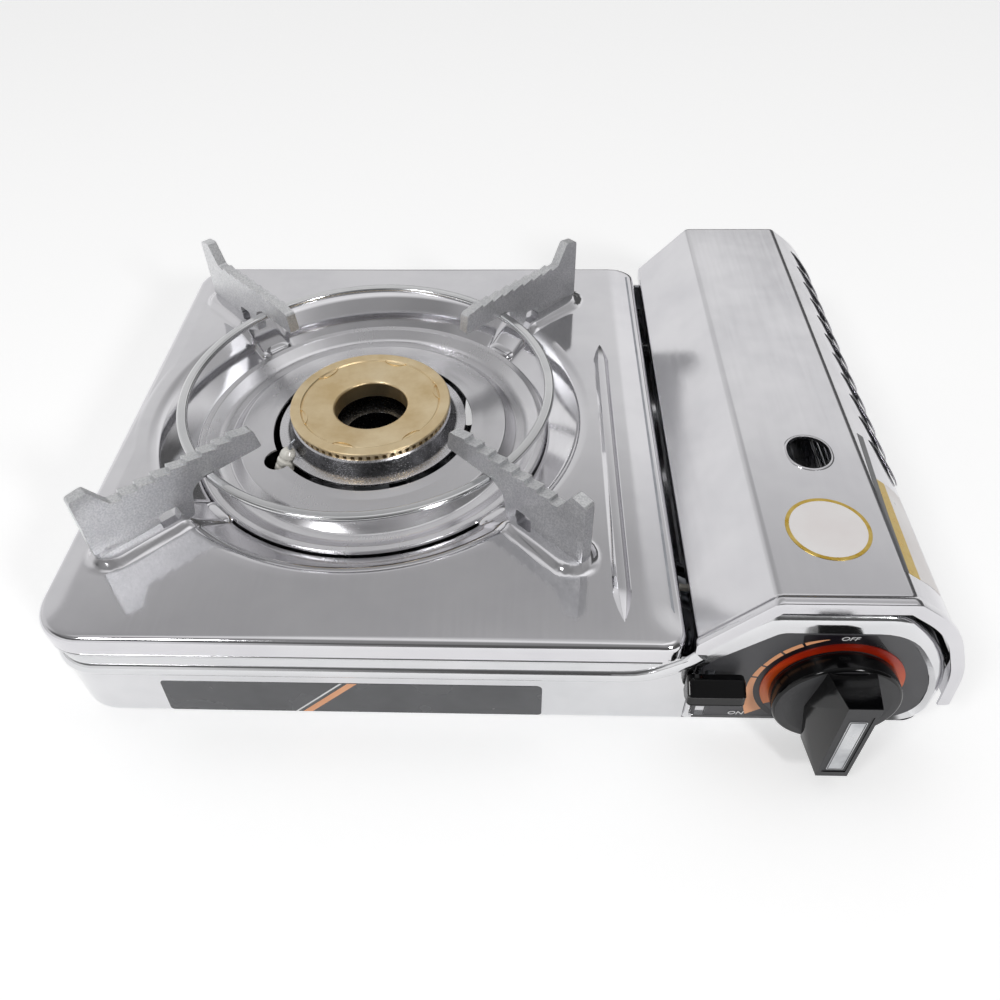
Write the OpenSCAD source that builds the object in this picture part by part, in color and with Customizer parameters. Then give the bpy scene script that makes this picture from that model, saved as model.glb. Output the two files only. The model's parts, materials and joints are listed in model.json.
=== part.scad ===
// Table-top stove for a butane cartridge: burner side on the left, cartridge bay under a hinged lid on
// the right. X runs to the right, Y to the back, Z up. The origin is on the table, under the middle.

/* [Casing] */
// Overall width over the top plate and the lid
stove_w = 339; // [330:1:350]
// Overall depth over the top plate, without the knob
stove_d = 254; // [248:1:262]
// Height of the top plate above the casing's lower edge
plate_h = 53; // [51:0.5:57]
// Gauge of all pressed sheet
sheet_t = 1; // [0.8:0.1:1.2]
// How far the casing wall stands inside the plate's skirt
wall_inset = 2.2; // [2:0.1:2.6]
// Plan radius of the casing's corners
case_corner_r = 17; // [12:1:20]
// Radius of the casing's lower edge
floor_r = 6; // [4:0.5:7]
// Height of the rubber feet
foot_h = 5; // [3:0.5:8]
// Radius of a rubber foot
foot_r = 9; // [7:0.5:11]
// Height of the bead on the casing wall, above the lower edge
bead_h = 32; // [26:1:34]

/* [Top plate] */
// Width of the cartridge side, from the plate's right edge to the lid's
bay_w = 101; // [98:1:104]
// Depth of the plate's skirt
skirt_h = 9; // [6:0.5:11]
// Radius of the plate's upper edge
edge_r = 3; // [2:0.5:4]
// Plan radius of the plate's front left corner
plate_front_r = 20; // [14:1:22]
// Plan radius of the plate's rear left corner
plate_rear_r = 15; // [12:1:20]
// Plan radius of the plate's corners beside the lid
plate_side_r = 8; // [5:0.5:9]
// Radius of the well at the plate
well_r = 100; // [96:0.5:102]
// Depth of the ledge that carries the drip tray
well_depth = 12; // [10:0.5:13]
// Distance from the plate's left edge to the burner axis
burner_from_left = 109; // [107:0.5:112]
// Distance from the plate's rear edge to the burner axis
burner_from_rear = 122.5; // [120:0.5:126]
// Width of the lobes under the pan support's feet
lobe_w = 21; // [18:0.5:24]
// Height of the lobes
lobe_h = 2.6; // [2:0.1:3]
// Width of the long rib beside the lid
rib_w = 7; // [5:0.5:9]
// Distance from the plate's right edge to the rib
rib_from_edge = 22; // [18:0.5:24]

/* [Drip tray] */
// From the wall of the well to the tray's bead
tray_gap = 21; // [19:0.5:23]
// Radius of the tray's central hole
tray_hole_r = 46; // [45:0.5:48]
// Height of the tray's hole above the lowest point of its gutter
tray_rise = 5.5; // [3:0.5:6.5]

/* [Burner] */
// Radius of the burner head
head_r = 36.4; // [35:0.2:38]
// Radius of the hole through the head
head_hole_r = 16.5; // [14:0.5:18]
// Height of the head above the top plate
head_rise = 3.3; // [2:0.1:4]
// Number of flame slots
slot_count = 64; // [48:4:72]
// Width of a flame slot
slot_w = 1.6; // [1.2:0.1:1.9]
// Height of a flame slot
slot_h = 2; // [1.5:0.1:2.4]
// Radius of the flange round the burner cup
flange_r = 43; // [42:0.2:44]
// Outer radius of the mixing tube
tube_r = 8; // [7:0.25:9]

/* [Pan support] */
// Distance from the burner axis to a fin's outer edge
fin_reach = 133; // [129:0.5:134]
// Distance from the burner axis to a fin's inner tip
fin_tip = 57; // [54:0.5:60]
// Thickness of a fin
fin_t = 4.8; // [4:0.1:6]
// Height of the pan above the top plate
pan_h = 24.5; // [23:0.5:27]
// Height of a fin's horn above the pan's level
horn_h = 9; // [6:0.5:10]
// Depth of a fin's bar over the well
bar_h = 11.5; // [10:0.5:13]
// Number of teeth on a fin
tooth_count = 8; // [6:1:9]
// Height of a tooth
tooth_h = 1.6; // [1:0.1:2]
// From the wall of the well to the support ring
ring_gap = 16; // [14:0.25:16.5]
// Radial width of the support ring
ring_w = 4.6; // [4:0.1:5]
// Thickness of the support ring
ring_t = 3.6; // [3:0.1:4]

/* [Lid] */
// Gap between the top plate and the lid
lid_gap = 3; // [2.6:0.1:3.6]
// Height of the lid above the top plate
lid_rise = 24.3; // [23:0.1:26]
// Width of the lid's left slope
lid_slope_w = 23; // [20:0.5:25]
// Width of the lid's flat top
lid_top_w = 45; // [40:0.5:48]
// Height of the lid's right edge above the casing's lower edge
lid_side_h = 19; // [16:0.5:24]
// Space between the lid and the casing's right wall
side_gap = 2.6; // [2:0.1:4]
// Depth of the raised rim along the lid's front
lid_rim_d = 4; // [3:0.5:6]
// Height of the raised rim
lid_rim_h = 0.9; // [0.5:0.1:1.2]
// Depth of the lip turned down along the lid's front
lid_lip = 4; // [3:0.5:5]
// Number of louvre slots
louvre_count = 11; // [8:1:11]
// Spacing of the louvre slots
louvre_pitch = 15; // [13:0.5:16]
// Length of a louvre slot
louvre_len = 20; // [12:1:22]
// Width of a louvre slot
louvre_w = 3; // [2:0.2:4]
// Length of the oval window
window_len = 19; // [14:1:24]
// Width of the oval window
window_w = 17; // [12:1:20]
// Distance from the lid's front to the window
window_from_front = 75; // [68:1:82]
// Radius of the hinge rod
rod_r = 1.5; // [1.2:0.1:2]

/* [Control panel] */
// Distance from the stove's right side to the knob axis
knob_from_right = 45; // [44:0.5:47]
// Height of the knob axis above the casing's lower edge
knob_h = 26; // [25:0.5:28]
// Radius of the knob
knob_r = 23; // [21:0.5:24]
// Thickness of the knob's disc
knob_disc = 7.5; // [6:0.5:9]
// Depth of the knob's grip in front of the disc
grip_d = 15.5; // [12:0.5:18]
// Width of the grip's front face
grip_w = 11.5; // [9:0.5:14]
// Turn of the knob from OFF to the ignition point
knob_turn = 125; // [100:5:130]
// Width of the bright bezel round the faceplate
bezel_w = 9; // [7:0.5:10]
// How far the faceplate is sunk into the bezel
face_sink = 1.8; // [1:0.1:2.4]

/* [Cartridge lock] */
// Travel of the lock lever
lever_travel = 17; // [14:0.5:18]
// Travel of the cartridge carriage
carriage_travel = 8; // [6:0.5:9]
// Radius of the gas cartridge
cartridge_r = 33.5; // [33:0.25:34]
// Length of the gas cartridge
cartridge_len = 184; // [180:1:186]
// Distance from the front of the casing to the socket's mouth
socket_from_front = 57; // [56:0.5:60]

/* [Hidden] */
$fn = 64;

// Clearances and small pieces
shaft_play = 0.06;
slide_play = 0.5;
arc_step = 12;
over = 1;
knob_gap = 1.5;
face_t = 1.2;
frame_flange = 8;
screw_r = 1.5;
screw_head_r = 3;
screw_head_h = 1.5;

// Levels and edges
base_z = foot_h;
floor_z = base_z + sheet_t;
plate_z = base_z + plate_h;
lid_z = plate_z + lid_rise;
knob_reach = knob_gap + knob_disc + grip_d - wall_inset - face_sink;
stove_left = -stove_w / 2;
stove_right = stove_w / 2;
stove_front = (knob_reach - stove_d) / 2;
stove_back = stove_front + stove_d;
case_left = stove_left + wall_inset;
lid_right = stove_right - lid_rim_h;
case_right = lid_right - sheet_t - side_gap;
case_front = stove_front + wall_inset;
case_back = stove_back - wall_inset;
case_side_r = 8;
case_corners = [case_corner_r, case_side_r, case_side_r, case_corner_r];
plate_w = stove_w - bay_w;
plate_right = stove_left + plate_w;
plate_corners = [plate_front_r, plate_side_r, plate_side_r, plate_rear_r];
burner_x = stove_left + burner_from_left;
burner_y = stove_back - burner_from_rear;
tray_r = well_r - tray_gap;
ring_r = well_r - ring_gap;
partition_x = plate_right - edge_r - 0.5 - sheet_t;

// Lid and hinge
lid_left = plate_right + lid_gap;
lid_front = stove_front + 0.4;
lid_skirt_z = plate_z - 4;
lid_side_z = base_z + lid_side_h;
hinge_in = 5;
hinge_y = stove_back - hinge_in;
hinge_z = lid_skirt_z + 4.5;
bay_wall_z = plate_z - skirt_h - 0.3;
bay_side_z = lid_z - 38;
lid_crease_x = lid_left + lid_slope_w;
lid_shoulder_x = lid_crease_x + lid_top_w;

// Panel
panel_left = lid_left + 0.3;
panel_right = case_right - 0.3;
panel_low = base_z + 2;
face_y = case_front + face_sink;
knob_x = stove_right - knob_from_right;
knob_z = base_z + knob_h;
knob_back = face_y - knob_gap;
disc_front = knob_back - knob_disc;
spindle_r = 3.6;
lever_x = lid_left + 7.5;
lever_z = plate_z - 22.5;
lever_stem_h = 6;
lock_arm_t = 2;
pin_r = 2;
pin_y = case_front + 22;
pin_z = floor_z + lever_travel + 8;
carriage_z = floor_z + 1.2;
carriage_t = 1.2;
saddle_t = 1.8;
saddle_gap = 0.3;
bay_x = (partition_x + case_right) / 2;
bay_z = carriage_z + carriage_t + 0.6 + cartridge_r;
socket_y = stove_front + socket_from_front - 7;
cartridge_back = socket_y + carriage_travel + cartridge_len;

// Burner and support
ledge_z = plate_z - well_depth;
gutter_z = ledge_z - 2.5;
tray_t = 0.8;
flange_z = gutter_z + tray_rise + 0.8;
head_top = plate_z + head_rise;
head_seat = head_top - 4.1;
neck_r = 15;
neck_z = floor_z + 15;
tube_z = neck_z + tube_r + 2;
electrode_angle = 213.7;
electrode_at = 46;
pan_z = plate_z + pan_h;
bar_z = pan_z - bar_h;
foot_z = plate_z + lobe_h;

// Governor
valve_y = case_front + 13.5;
body_y = case_front + 22;
body_r = 14;
bowl_r = 17;
bowl_z = bay_z + 11;
jet_at = [bay_x - 12, body_y + 10, tube_z];
tube_run = [burner_x, burner_y, tube_z] - jet_at;
tube_angle = atan2(tube_run.y, tube_run.x);
tube_len = norm(tube_run);
mouth_gap = 14;
cam_low = 8.5;
plunger_travel = 4;
cam_y = face_y + 2 * face_t + 1.5;
cam_t = 5;
piezo_x = knob_x - cam_low - 30;
piezo_len = 22;

// Lead from the igniter to the electrode
lead_r = 1.4;
electrode_foot = [
    burner_x + electrode_at * cos(electrode_angle),
    burner_y + electrode_at * sin(electrode_angle)
];
lead_points = [
    [piezo_x + 8, cam_y + 7, 31], [piezo_x + 8, cam_y + 13, 33], [piezo_x + 3, cam_y + 22, 43],
    [partition_x + 12, cam_y + 29, 45], [partition_x, cam_y + 30, 45], [partition_x - 14, cam_y + 31, 40],
    [partition_x - 30, cam_y + 34, 18], [10, -70, 11], [-40, -62, 10], [-84, -44, 11],
    [electrode_foot.x - 2, electrode_foot.y - 10, 14], [electrode_foot.x, electrode_foot.y, 22],
    [electrode_foot.x, electrode_foot.y, 29]
];

// --- Paths -------------------------------------------------------------------------------------
function unit(v) = v / norm(v);
function reversed(p) = [for (i = [len(p) - 1:-1:0]) p[i]];
function normal_at(p, i) = let (v = unit(p[i + 1] - p[i])) [-v.y, v.x];
function miter(p, i) =
    i == 0 ? normal_at(p, 0)
    : i == len(p) - 1 ? normal_at(p, len(p) - 2)
    : let (a = normal_at(p, i - 1), b = normal_at(p, i)) (a + b) / (1 + a * b);
function flat(p) = [p[0], p[1]];
function radius_of(p) = len(p) > 2 ? p[2] : 0;
function bend(p, i) = sign(cross(p[i] - p[i - 1], p[i + 1] - p[i]));
// The same path of [x, y, r] corners, moved sideways, with its arcs kept concentric
function moved(p, d) =
    let (q = [for (v = p) flat(v)], last = len(p) - 1)
    [for (i = [0:last])
        let (
            m = q[i] + d * miter(q, i),
            r = i == 0 || i == last || radius_of(p[i]) == 0 ? 0 : radius_of(p[i]) - d * bend(q, i)
        )
        [m.x, m.y, r > 0.1 ? r : 0]];
// The strip between an open path and the same path moved sideways
function strip(p, d0, d1) = concat(open_path(moved(p, d0)), reversed(open_path(moved(p, d1))));
// Points [x, y, r] with the corner b turned into an arc of radius r
function corner_arc(a, b, c, r) =
    let (
        u = unit(a - b),
        v = unit(c - b),
        half = acos(u * v) / 2,
        m = b + unit(u + v) * r / sin(half),
        s = b + u * r / tan(half) - m,
        e = b + v * r / tan(half) - m,
        start = atan2(s.y, s.x),
        turn = (atan2(e.y, e.x) - start + 540) % 360 - 180,
        n = ceil(abs(turn) / arc_step) + 1
    )
    [for (k = [0:n]) m + r * [cos(start + turn * k / n), sin(start + turn * k / n)]];
function turned(p, i, n) =
    radius_of(p[i]) > 0 ? corner_arc(flat(p[(i + n - 1) % n]), flat(p[i]), flat(p[(i + 1) % n]), p[i][2])
    : [flat(p[i])];
function open_path(p) =
    let (n = len(p)) [for (i = [0:n - 1]) each (i == 0 || i == n - 1 ? [flat(p[i])] : turned(p, i, n))];
function loop_path(p) = let (n = len(p)) [for (i = [0:n - 1]) each turned(p, i, n)];

// --- Shared forms ------------------------------------------------------------------------------
// Sweeps a profile round a rectangle: x is measured outwards from the outer face, y upwards
module rim(x0, x1, y0, y1, r) {
    c = [
        [x0 + r[0], y0 + r[0]], [x1 - r[1], y0 + r[1]], [x1 - r[2], y1 - r[2]], [x0 + r[3], y1 - r[3]]
    ];
    for (i = [0:3]) {
        j = (i + 1) % 4;
        out = -90 + 90 * i;
        side = c[j] - c[i];
        run = abs(i % 2 == 0 ? side.x : side.y);
        translate(c[i]) rotate(180 + 90 * i) rotate_extrude(angle = 90) translate([r[i], 0]) children();
        translate(c[j] + r[j] * [cos(out), sin(out)]) rotate(out) rotate([90, 0, 0])
            linear_extrude(run) children();
    }
}

// A slot with round ends, l between the centres of its ends
function slot_outline(l, w) = [
    for (s = [0, 1], a = [-90:15:90])
        let (q = [cos(a), sin(a)] * w / 2 + [l / 2, 0]) s == 0 ? q : -q
];

// A rectangle with its own radius at each corner, drawn as one outline
module plan(x0, x1, y0, y1, r) {
    polygon(loop_path([[x0, y0, r[0]], [x1, y0, r[1]], [x1, y1, r[2]], [x0, y1, r[3]]]));
}

// Extrudes an outline of X and Z towards the back
module along_y(y, depth) {
    translate([0, y + depth, 0]) rotate([90, 0, 0]) linear_extrude(depth) children();
}

// A raised bar with sloping flanks, from x = 0 to x = l
module raised_bar(l, w, h, slope) {
    rotate([90, 0, 90]) linear_extrude(l)
        polygon([[-w / 2, 0], [w / 2, 0], [w / 2 - slope, h], [slope - w / 2, h]]);
}

module bar_end(w, h, slope) {
    cylinder(r1 = w / 2, r2 = w / 2 - slope, h = h);
}

// A tube of small facets along a list of points
function blend_point(p, i, t) =
    let (
        n = len(p) - 1,
        a = p[max(i - 1, 0)], b = p[i], c = p[min(i + 1, n)], d = p[min(i + 2, n)]
    )
    0.5 * (2 * b + (c - a) * t + (2 * a - 5 * b + 4 * c - d) * t * t + (3 * b - a - 3 * c + d) * t * t * t);
function smooth_path(p, n) =
    concat([for (i = [0:len(p) - 2], k = [0:n - 1]) blend_point(p, i, k / n)], [p[len(p) - 1]]);
function ring_at(p, i, r, sides) =
    let (
        d = unit(p[min(i + 1, len(p) - 1)] - p[max(i - 1, 0)]),
        side = unit(cross(d, abs(d.z) > 0.9 ? [0, 1, 0] : [0, 0, 1])),
        up = cross(side, d)
    )
    [for (k = [0:sides - 1]) p[i] + r * (cos(360 * k / sides) * side + sin(360 * k / sides) * up)];
module swept_tube(p, r, sides) {
    n = len(p);
    rings = [for (i = [0:n - 1]) each ring_at(p, i, r, sides)];
    walls = [
        for (i = [0:n - 2], k = [0:sides - 1])
            let (a = i * sides + k, b = i * sides + (k + 1) % sides)
            each [[a, b, b + sides], [a, b + sides, a + sides]]
    ];
    ends = [
        [for (k = [sides - 1:-1:0]) k],
        [for (k = [0:sides - 1]) (n - 1) * sides + k]
    ];
    polyhedron(rings, concat(walls, ends));
}

// --- Casing ------------------------------------------------------------------------------------
module wall_profile() {
    polygon(strip([[-floor_r - 1, 0], [0, 0, floor_r], [0, plate_h - sheet_t - 0.5]], 0, sheet_t));
}

module bead_profile() {
    polygon([[-0.2, -3], [0, -3], [1, -1.6], [1, 1.6], [0, 3], [-0.2, 3]]);
}

// The bead leaves the wall's level and climbs to the panel's bezel
bead_z = base_z + bead_h;
module bead_climb() {
    start = plate_right - 26;
    path = [
        [start, bead_z], [start + 14, bead_z, 30], [panel_left - 1, plate_z - 11, 14],
        [panel_left + 2, plate_z - 7]
    ];
    along_y(case_front - 0.9, 1.1) polygon(strip(path, -2.4, 2.4));
}

foot_spots = [
    for (x = [case_left + 30, case_right - 12], y = [case_front + 34, case_back - 30]) [x, y]
];
vent_pitch = 20;

module base_case() {
    color("gainsboro")
    difference() {
        union() {
            translate([0, 0, base_z])
                rim(case_left, case_right, case_front, case_back, case_corners) wall_profile();
            translate([0, 0, base_z]) linear_extrude(sheet_t)
                plan(case_left + floor_r, case_right - floor_r, case_front + floor_r, case_back - floor_r,
                    [for (r = case_corners) r - floor_r]);
            intersection() {
                translate([0, 0, bead_z])
                    rim(case_left, case_right, case_front, case_back, case_corners) bead_profile();
                translate([stove_left, stove_front, bead_z - 10])
                    cube([plate_w - 26, stove_d, 20]);
            }
            bead_climb();
        }
        // The bay is open above its lower wall, and in front where the panel stands
        translate([plate_right - plate_side_r - 1, stove_front, bay_wall_z])
            cube([stove_w, stove_d + over, plate_h]);
        translate([case_right - 3, stove_front, bay_side_z]) cube([10, stove_d + over, plate_h]);
        translate([lid_shoulder_x + 14, stove_front, bay_side_z])
            cube([bay_w, case_side_r + wall_inset, plate_h]);
        along_y(case_front - 3, frame_flange + 3) polygon(panel_outline());
        for (p = foot_spots) translate([p.x, p.y, base_z - over]) cylinder(r = 3, h = 3 + over);
        floor_screw_holes();
        // Air slots under the burner
        for (i = [-2:2], s = [-1, 1])
            translate([burner_x + i * vent_pitch, burner_y + s * 62, base_z - over]) rotate(90)
                linear_extrude(sheet_t + 2 * over) polygon(slot_outline(22, 5));
    }
}

module rubber_feet() {
    color("dimgray")
    for (p = foot_spots) translate([p.x, p.y, 0]) {
        cylinder(r1 = foot_r - 1.5, r2 = foot_r, h = foot_h);
        cylinder(r = 3, h = foot_h + sheet_t);
        translate([0, 0, floor_z]) cylinder(r1 = 4.5, r2 = 3, h = 2.5);
    }
}

floor_screw_spots = [
    [partition_x - 7, case_front + 60], [partition_x - 7, case_back - 60],
    [burner_x, burner_y - 32], [burner_x, burner_y + 32],
    [bay_x + 4, body_y + 4], [bay_x + 4, body_y + 16]
];

module floor_screw_holes() {
    for (p = floor_screw_spots)
        translate([p.x, p.y, base_z - over]) cylinder(r = screw_r, h = 4 + over);
}

module floor_screws() {
    color("silver")
    for (p = floor_screw_spots) translate([p.x, p.y, base_z - screw_head_h]) {
        difference() {
            cylinder(r = screw_head_r, h = screw_head_h);
            for (a = [0, 90]) rotate(a) translate([-2, -0.4, -over]) cube([4, 0.8, over + 0.8]);
        }
        cylinder(r = screw_r, h = screw_head_h + 4);
    }
}

module well_profile() {
    polygon(strip([
        [well_r + 4, 0], [well_r, 0, 2.4], [well_r - 3, -6, 1.4], [well_r - 8, -7, 1.4],
        [well_r - 12, -well_depth + 0.6, 1.4], [tray_r + 1.5, -well_depth], [tray_r - 5, -well_depth]
    ], 0, sheet_t));
}

module skirt_profile() {
    polygon(strip([[0, -skirt_h], [0, 0, edge_r], [-edge_r - 0.5, 0]], 0, sheet_t));
}

rib_front = burner_y - 117;
rib_back = burner_y + 46;
rib_x = plate_right - rib_from_edge;

module top_plate() {
    color("lightgray") {
        translate([0, 0, plate_z])
            rim(stove_left, plate_right, stove_front, stove_back, plate_corners) skirt_profile();
        translate([0, 0, plate_z - sheet_t]) linear_extrude(sheet_t) difference() {
            plan(stove_left + edge_r, plate_right - edge_r, stove_front + edge_r, stove_back - edge_r,
                [for (r = plate_corners) r - edge_r]);
            translate([burner_x, burner_y]) circle(r = well_r + 3.5, $fn = 128);
        }
        translate([burner_x, burner_y, plate_z]) {
            rotate_extrude($fn = 128) well_profile();
            for (a = [45:90:315]) rotate(a) {
                difference() {
                    union() {
                        translate([well_r - 2, 0, 0])
                            raised_bar(fin_reach + 3 - lobe_w / 2 - well_r + 2, lobe_w, lobe_h, 1.8);
                        translate([fin_reach + 3 - lobe_w / 2, 0, 0]) bar_end(lobe_w, lobe_h, 1.8);
                    }
                    translate([0, 0, -over])
                        cylinder(r = well_r + 1, h = lobe_h + 2 * over, $fn = 128);
                }
                // Embossed pad on the ledge under each fin
                translate([tray_r + 3.2, -9, -well_depth - 0.5]) cube([6, 18, 3]);
            }
        }
        translate([rib_x, rib_front, plate_z]) {
            rotate(90) raised_bar(rib_back - rib_front, rib_w, 1.8, 2);
            bar_end(rib_w, 1.8, 2);
            translate([0, rib_back - rib_front, 0]) bar_end(rib_w, 1.8, 2);
        }
    }
}

module partition_plate() {
    low = floor_z;
    high = plate_z - sheet_t;
    color("silver")
    difference() {
        union() {
            translate([partition_x, case_front + 6, low])
                cube([sheet_t, case_back - case_front - 12, high - low]);
            translate([partition_x - 14, case_front + 12, low])
                cube([14 + sheet_t, case_back - case_front - 24, sheet_t]);
        }
        translate(jet_at) rotate([0, 90, tube_angle]) cylinder(r = tube_r + 3, h = 90);
        translate([partition_x - over, lead_points[4].y, lead_points[4].z]) rotate([0, 90, 0])
            cylinder(r = lead_r + 1.6, h = sheet_t + 2 * over);
        for (y = [-10:22:100], z = [24, 40])
            translate([partition_x - over, y, z]) rotate([0, 90, 0]) cylinder(r = 4, h = sheet_t + 2 * over);
        floor_screw_holes();
    }
}

// --- Control panel -----------------------------------------------------------------------------
function panel_outline() = loop_path([
    [panel_left, panel_low], [panel_left, lid_skirt_z - 0.6, 1],
    [lid_crease_x + 1, lid_z - 9.2, 6], [lid_shoulder_x, lid_z - 9, 8],
    [lid_shoulder_x + 16, lid_z - 24, 14], [panel_right, lid_z - 44, 24],
    [panel_right, panel_low, 7]
]);
function face_outline(grow) = loop_path([
    [lever_x - 3.2 - grow, panel_low + 1.5 - grow, 1], [lever_x - 3.2 - grow, plate_z - 16 + grow, 2],
    [panel_left + bezel_w, plate_z - 10 + grow, 4],
    [lid_crease_x + 5, lid_z - 10 - bezel_w + grow, 5],
    [lid_shoulder_x + 3, lid_z - 10 - bezel_w + grow, 8],
    [panel_right - 9 + grow / 2, lid_z - 38, 18], [panel_right - 4 + grow, lid_z - 52, 16],
    [panel_right - 4 + grow, panel_low + 1.5 - grow, 10]
]);
lever_slot_w = 4;
lever_slot_low = lever_z - lever_travel - 10;
module lever_slot(w) {
    along_y(case_front - 1, 8)
        translate([lever_x - w / 2, lever_slot_low])
            square([w, lever_z + lever_stem_h / 2 + slide_play - lever_slot_low]);
}

module panel_frame() {
    back = face_y + face_t;
    color("gainsboro")
    difference() {
        along_y(case_front, frame_flange) polygon(panel_outline());
        // Faceplate pocket with sloping edges
        hull() {
            along_y(case_front - 0.1, 0.1) polygon(face_outline(2));
            along_y(face_y, 0.1) polygon(face_outline(0));
        }
        along_y(face_y, face_t) polygon(face_outline(0));
        // Hollow behind the panel, open towards the bay
        along_y(back + face_t, frame_flange) intersection() {
            polygon(loop_path([
                [panel_left + face_t, panel_low + face_t], [panel_left + face_t, lid_skirt_z - 1.4, 0.5],
                [lid_crease_x + 1.5, lid_z - 10.5, 5], [lid_shoulder_x - 0.5, lid_z - 10.3, 7],
                [lid_shoulder_x + 15, lid_z - 24.5, 13], [panel_right - face_t, lid_z - 44.5, 23],
                [panel_right - face_t, panel_low + face_t, 6]
            ]));
        }
        lever_slot(lever_slot_w);
        along_y(case_front - 1, 12) translate([knob_x, knob_z]) circle(r = spindle_r + 1);
    }
}

module panel_faceplate() {
    color("dimgray")
    difference() {
        along_y(face_y, face_t) polygon(face_outline(-0.15));
        lever_slot(lever_slot_w);
        along_y(case_front - 1, 12) translate([knob_x, knob_z]) circle(r = spindle_r + 4);
    }
}

module knob_ring() {
    color("orangered")
    along_y(face_y - 0.6, 0.6) intersection() {
        translate([knob_x, knob_z]) difference() {
            circle(r = knob_r + 3);
            circle(r = knob_r + 0.6);
        }
        polygon(face_outline(-0.4));
    }
}

// --- Knob and valve ----------------------------------------------------------------------------
grip_front = disc_front - grip_d;
grip_half = knob_r;

module control_knob() {
    color("black")
    difference() {
        union() {
            translate([knob_x, knob_back, knob_z]) rotate([90, 0, 0]) rotate_extrude()
                polygon(open_path([
                    [0, 0], [knob_r, 0, 0.5], [knob_r, knob_disc, 1.4], [knob_r - 4, knob_disc + 0.4, 2],
                    [0, knob_disc + 0.4]
                ]));
            hull() {
                along_y(disc_front - 0.2, 0.4) translate([knob_x, knob_z]) polygon([
                    [-8, -grip_half + 0.6], [8, -grip_half + 0.6], [12, 0], [8.5, grip_half - 2],
                    [-8.5, grip_half - 2], [-12, 0]
                ]);
                along_y(grip_front, 0.4) translate([knob_x - grip_w / 2, knob_z - grip_half])
                    square([grip_w, 2 * grip_half]);
            }
        }
        along_y(grip_front - over, over + 0.6) translate([knob_x - grip_w / 2 + 1.4, knob_z - grip_half + 3])
            square([grip_w - 2.8, 2 * grip_half - 8]);
        along_y(knob_back - 7, 7 + over) translate([knob_x, knob_z]) circle(r = spindle_r);
    }
}

module knob_plate() {
    color("silver")
    along_y(grip_front + 0.1, 0.5) translate([knob_x - grip_w / 2 + 1.4, knob_z - grip_half + 3])
        square([grip_w - 2.8, 2 * grip_half - 8]);
}

module valve_spindle() {
    color("goldenrod")
    difference() {
        along_y(knob_back - 7, valve_y + 19 - knob_back) translate([knob_x, knob_z])
            circle(r = spindle_r);
        along_y(valve_y + 8, 1.6) translate([knob_x, knob_z]) difference() {
            circle(r = spindle_r + 1);
            circle(r = spindle_r - 0.8);
        }
    }
}

// The cam's edge rises evenly, so the plunger moves in proportion to the knob
function cam_radius(a) = cam_low + plunger_travel * (180 - a) / knob_turn;
module igniter_cam() {
    rise = [for (a = [180 - knob_turn:5:180]) cam_radius(a) * [cos(a), sin(a)]];
    rest = [for (a = [190:15:400 - knob_turn]) (cam_low - 1) * [cos(a), sin(a)]];
    color("ivory")
    along_y(cam_y, cam_t) translate([knob_x, knob_z]) difference() {
        polygon(concat(rise, rest));
        circle(r = spindle_r);
    }
}

module igniter_plunger() {
    tip = knob_x - cam_low - 0.6;
    color("ivory")
    translate([piezo_x + piezo_len - 3, cam_y + 0.5, knob_z - 2]) cube([tip - piezo_x - piezo_len + 3, 4, 4]);
}

module piezo_igniter() {
    color("black")
    difference() {
        translate([piezo_x, face_y + 2 * face_t, knob_z - 5])
            cube([piezo_len, cam_y + 7 - face_y - 2 * face_t, 10]);
        translate([piezo_x + 8, cam_y + 0.5 - 0.3, knob_z - 2.3]) cube([piezo_len, 4.6, 4.6]);
        translate([piezo_x + 3, cam_y - over, knob_z + 3.5]) cube([10, 12, 2]);
    }
}

// The gas outlet's axis, along the mixing tube
module outlet() {
    translate(jet_at) rotate([0, 90, tube_angle]) translate([0, 0, -9.4]) children();
}

module governor_body() {
    color("lightslategray")
    difference() {
        union() {
            along_y(valve_y, body_y - valve_y + 4) translate([knob_x, knob_z]) circle(r = 8.5);
            along_y(body_y, 20) translate([bay_x, bay_z]) circle(r = body_r);
            translate([bay_x, body_y + 9, bowl_z]) cylinder(r = bowl_r, h = 5);
            translate([bay_x, body_y + 9, tube_z - 9]) cylinder(r = 8, h = 20);
            outlet() cylinder(r = 5, h = 17);
        }
        along_y(valve_y - over, 14 + over) translate([knob_x, knob_z]) circle(r = spindle_r + shaft_play);
        along_y(body_y + 12, 10) translate([bay_x, bay_z]) circle(r = 6);
        for (a = [45:90:315])
            translate([bay_x, body_y + 9, bowl_z]) rotate(a) translate([bowl_r - 3.5, 0, 1])
                cylinder(r = 1.2, h = 6);
        along_y(body_y + 2, 3) translate([bay_x, bay_z]) difference() {
            circle(r = body_r + over);
            circle(r = body_r - 1.5);
        }
    }
}

module diaphragm_cover() {
    color("lightsteelblue")
    translate([bay_x, body_y + 9, bowl_z + 5]) difference() {
        rotate_extrude() polygon(open_path([
            [0, 0], [bowl_r, 0, 0.4], [bowl_r, 2, 0.6], [bowl_r - 6.5, 2, 1.5], [bowl_r - 8, 6, 1.5], [0, 7]
        ]));
        for (a = [45:90:315]) rotate(a) translate([bowl_r - 3.5, 0, -over])
            cylinder(r = 1.2, h = 4);
    }
}

module cover_screws() {
    color("silver")
    translate([bay_x, body_y + 9, bowl_z + 7]) for (a = [45:90:315]) rotate(a)
        translate([bowl_r - 3.5, 0, 0]) {
            cylinder(r = 2, h = 1.4);
            translate([0, 0, -5]) cylinder(r = 1.2, h = 5);
        }
}

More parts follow.
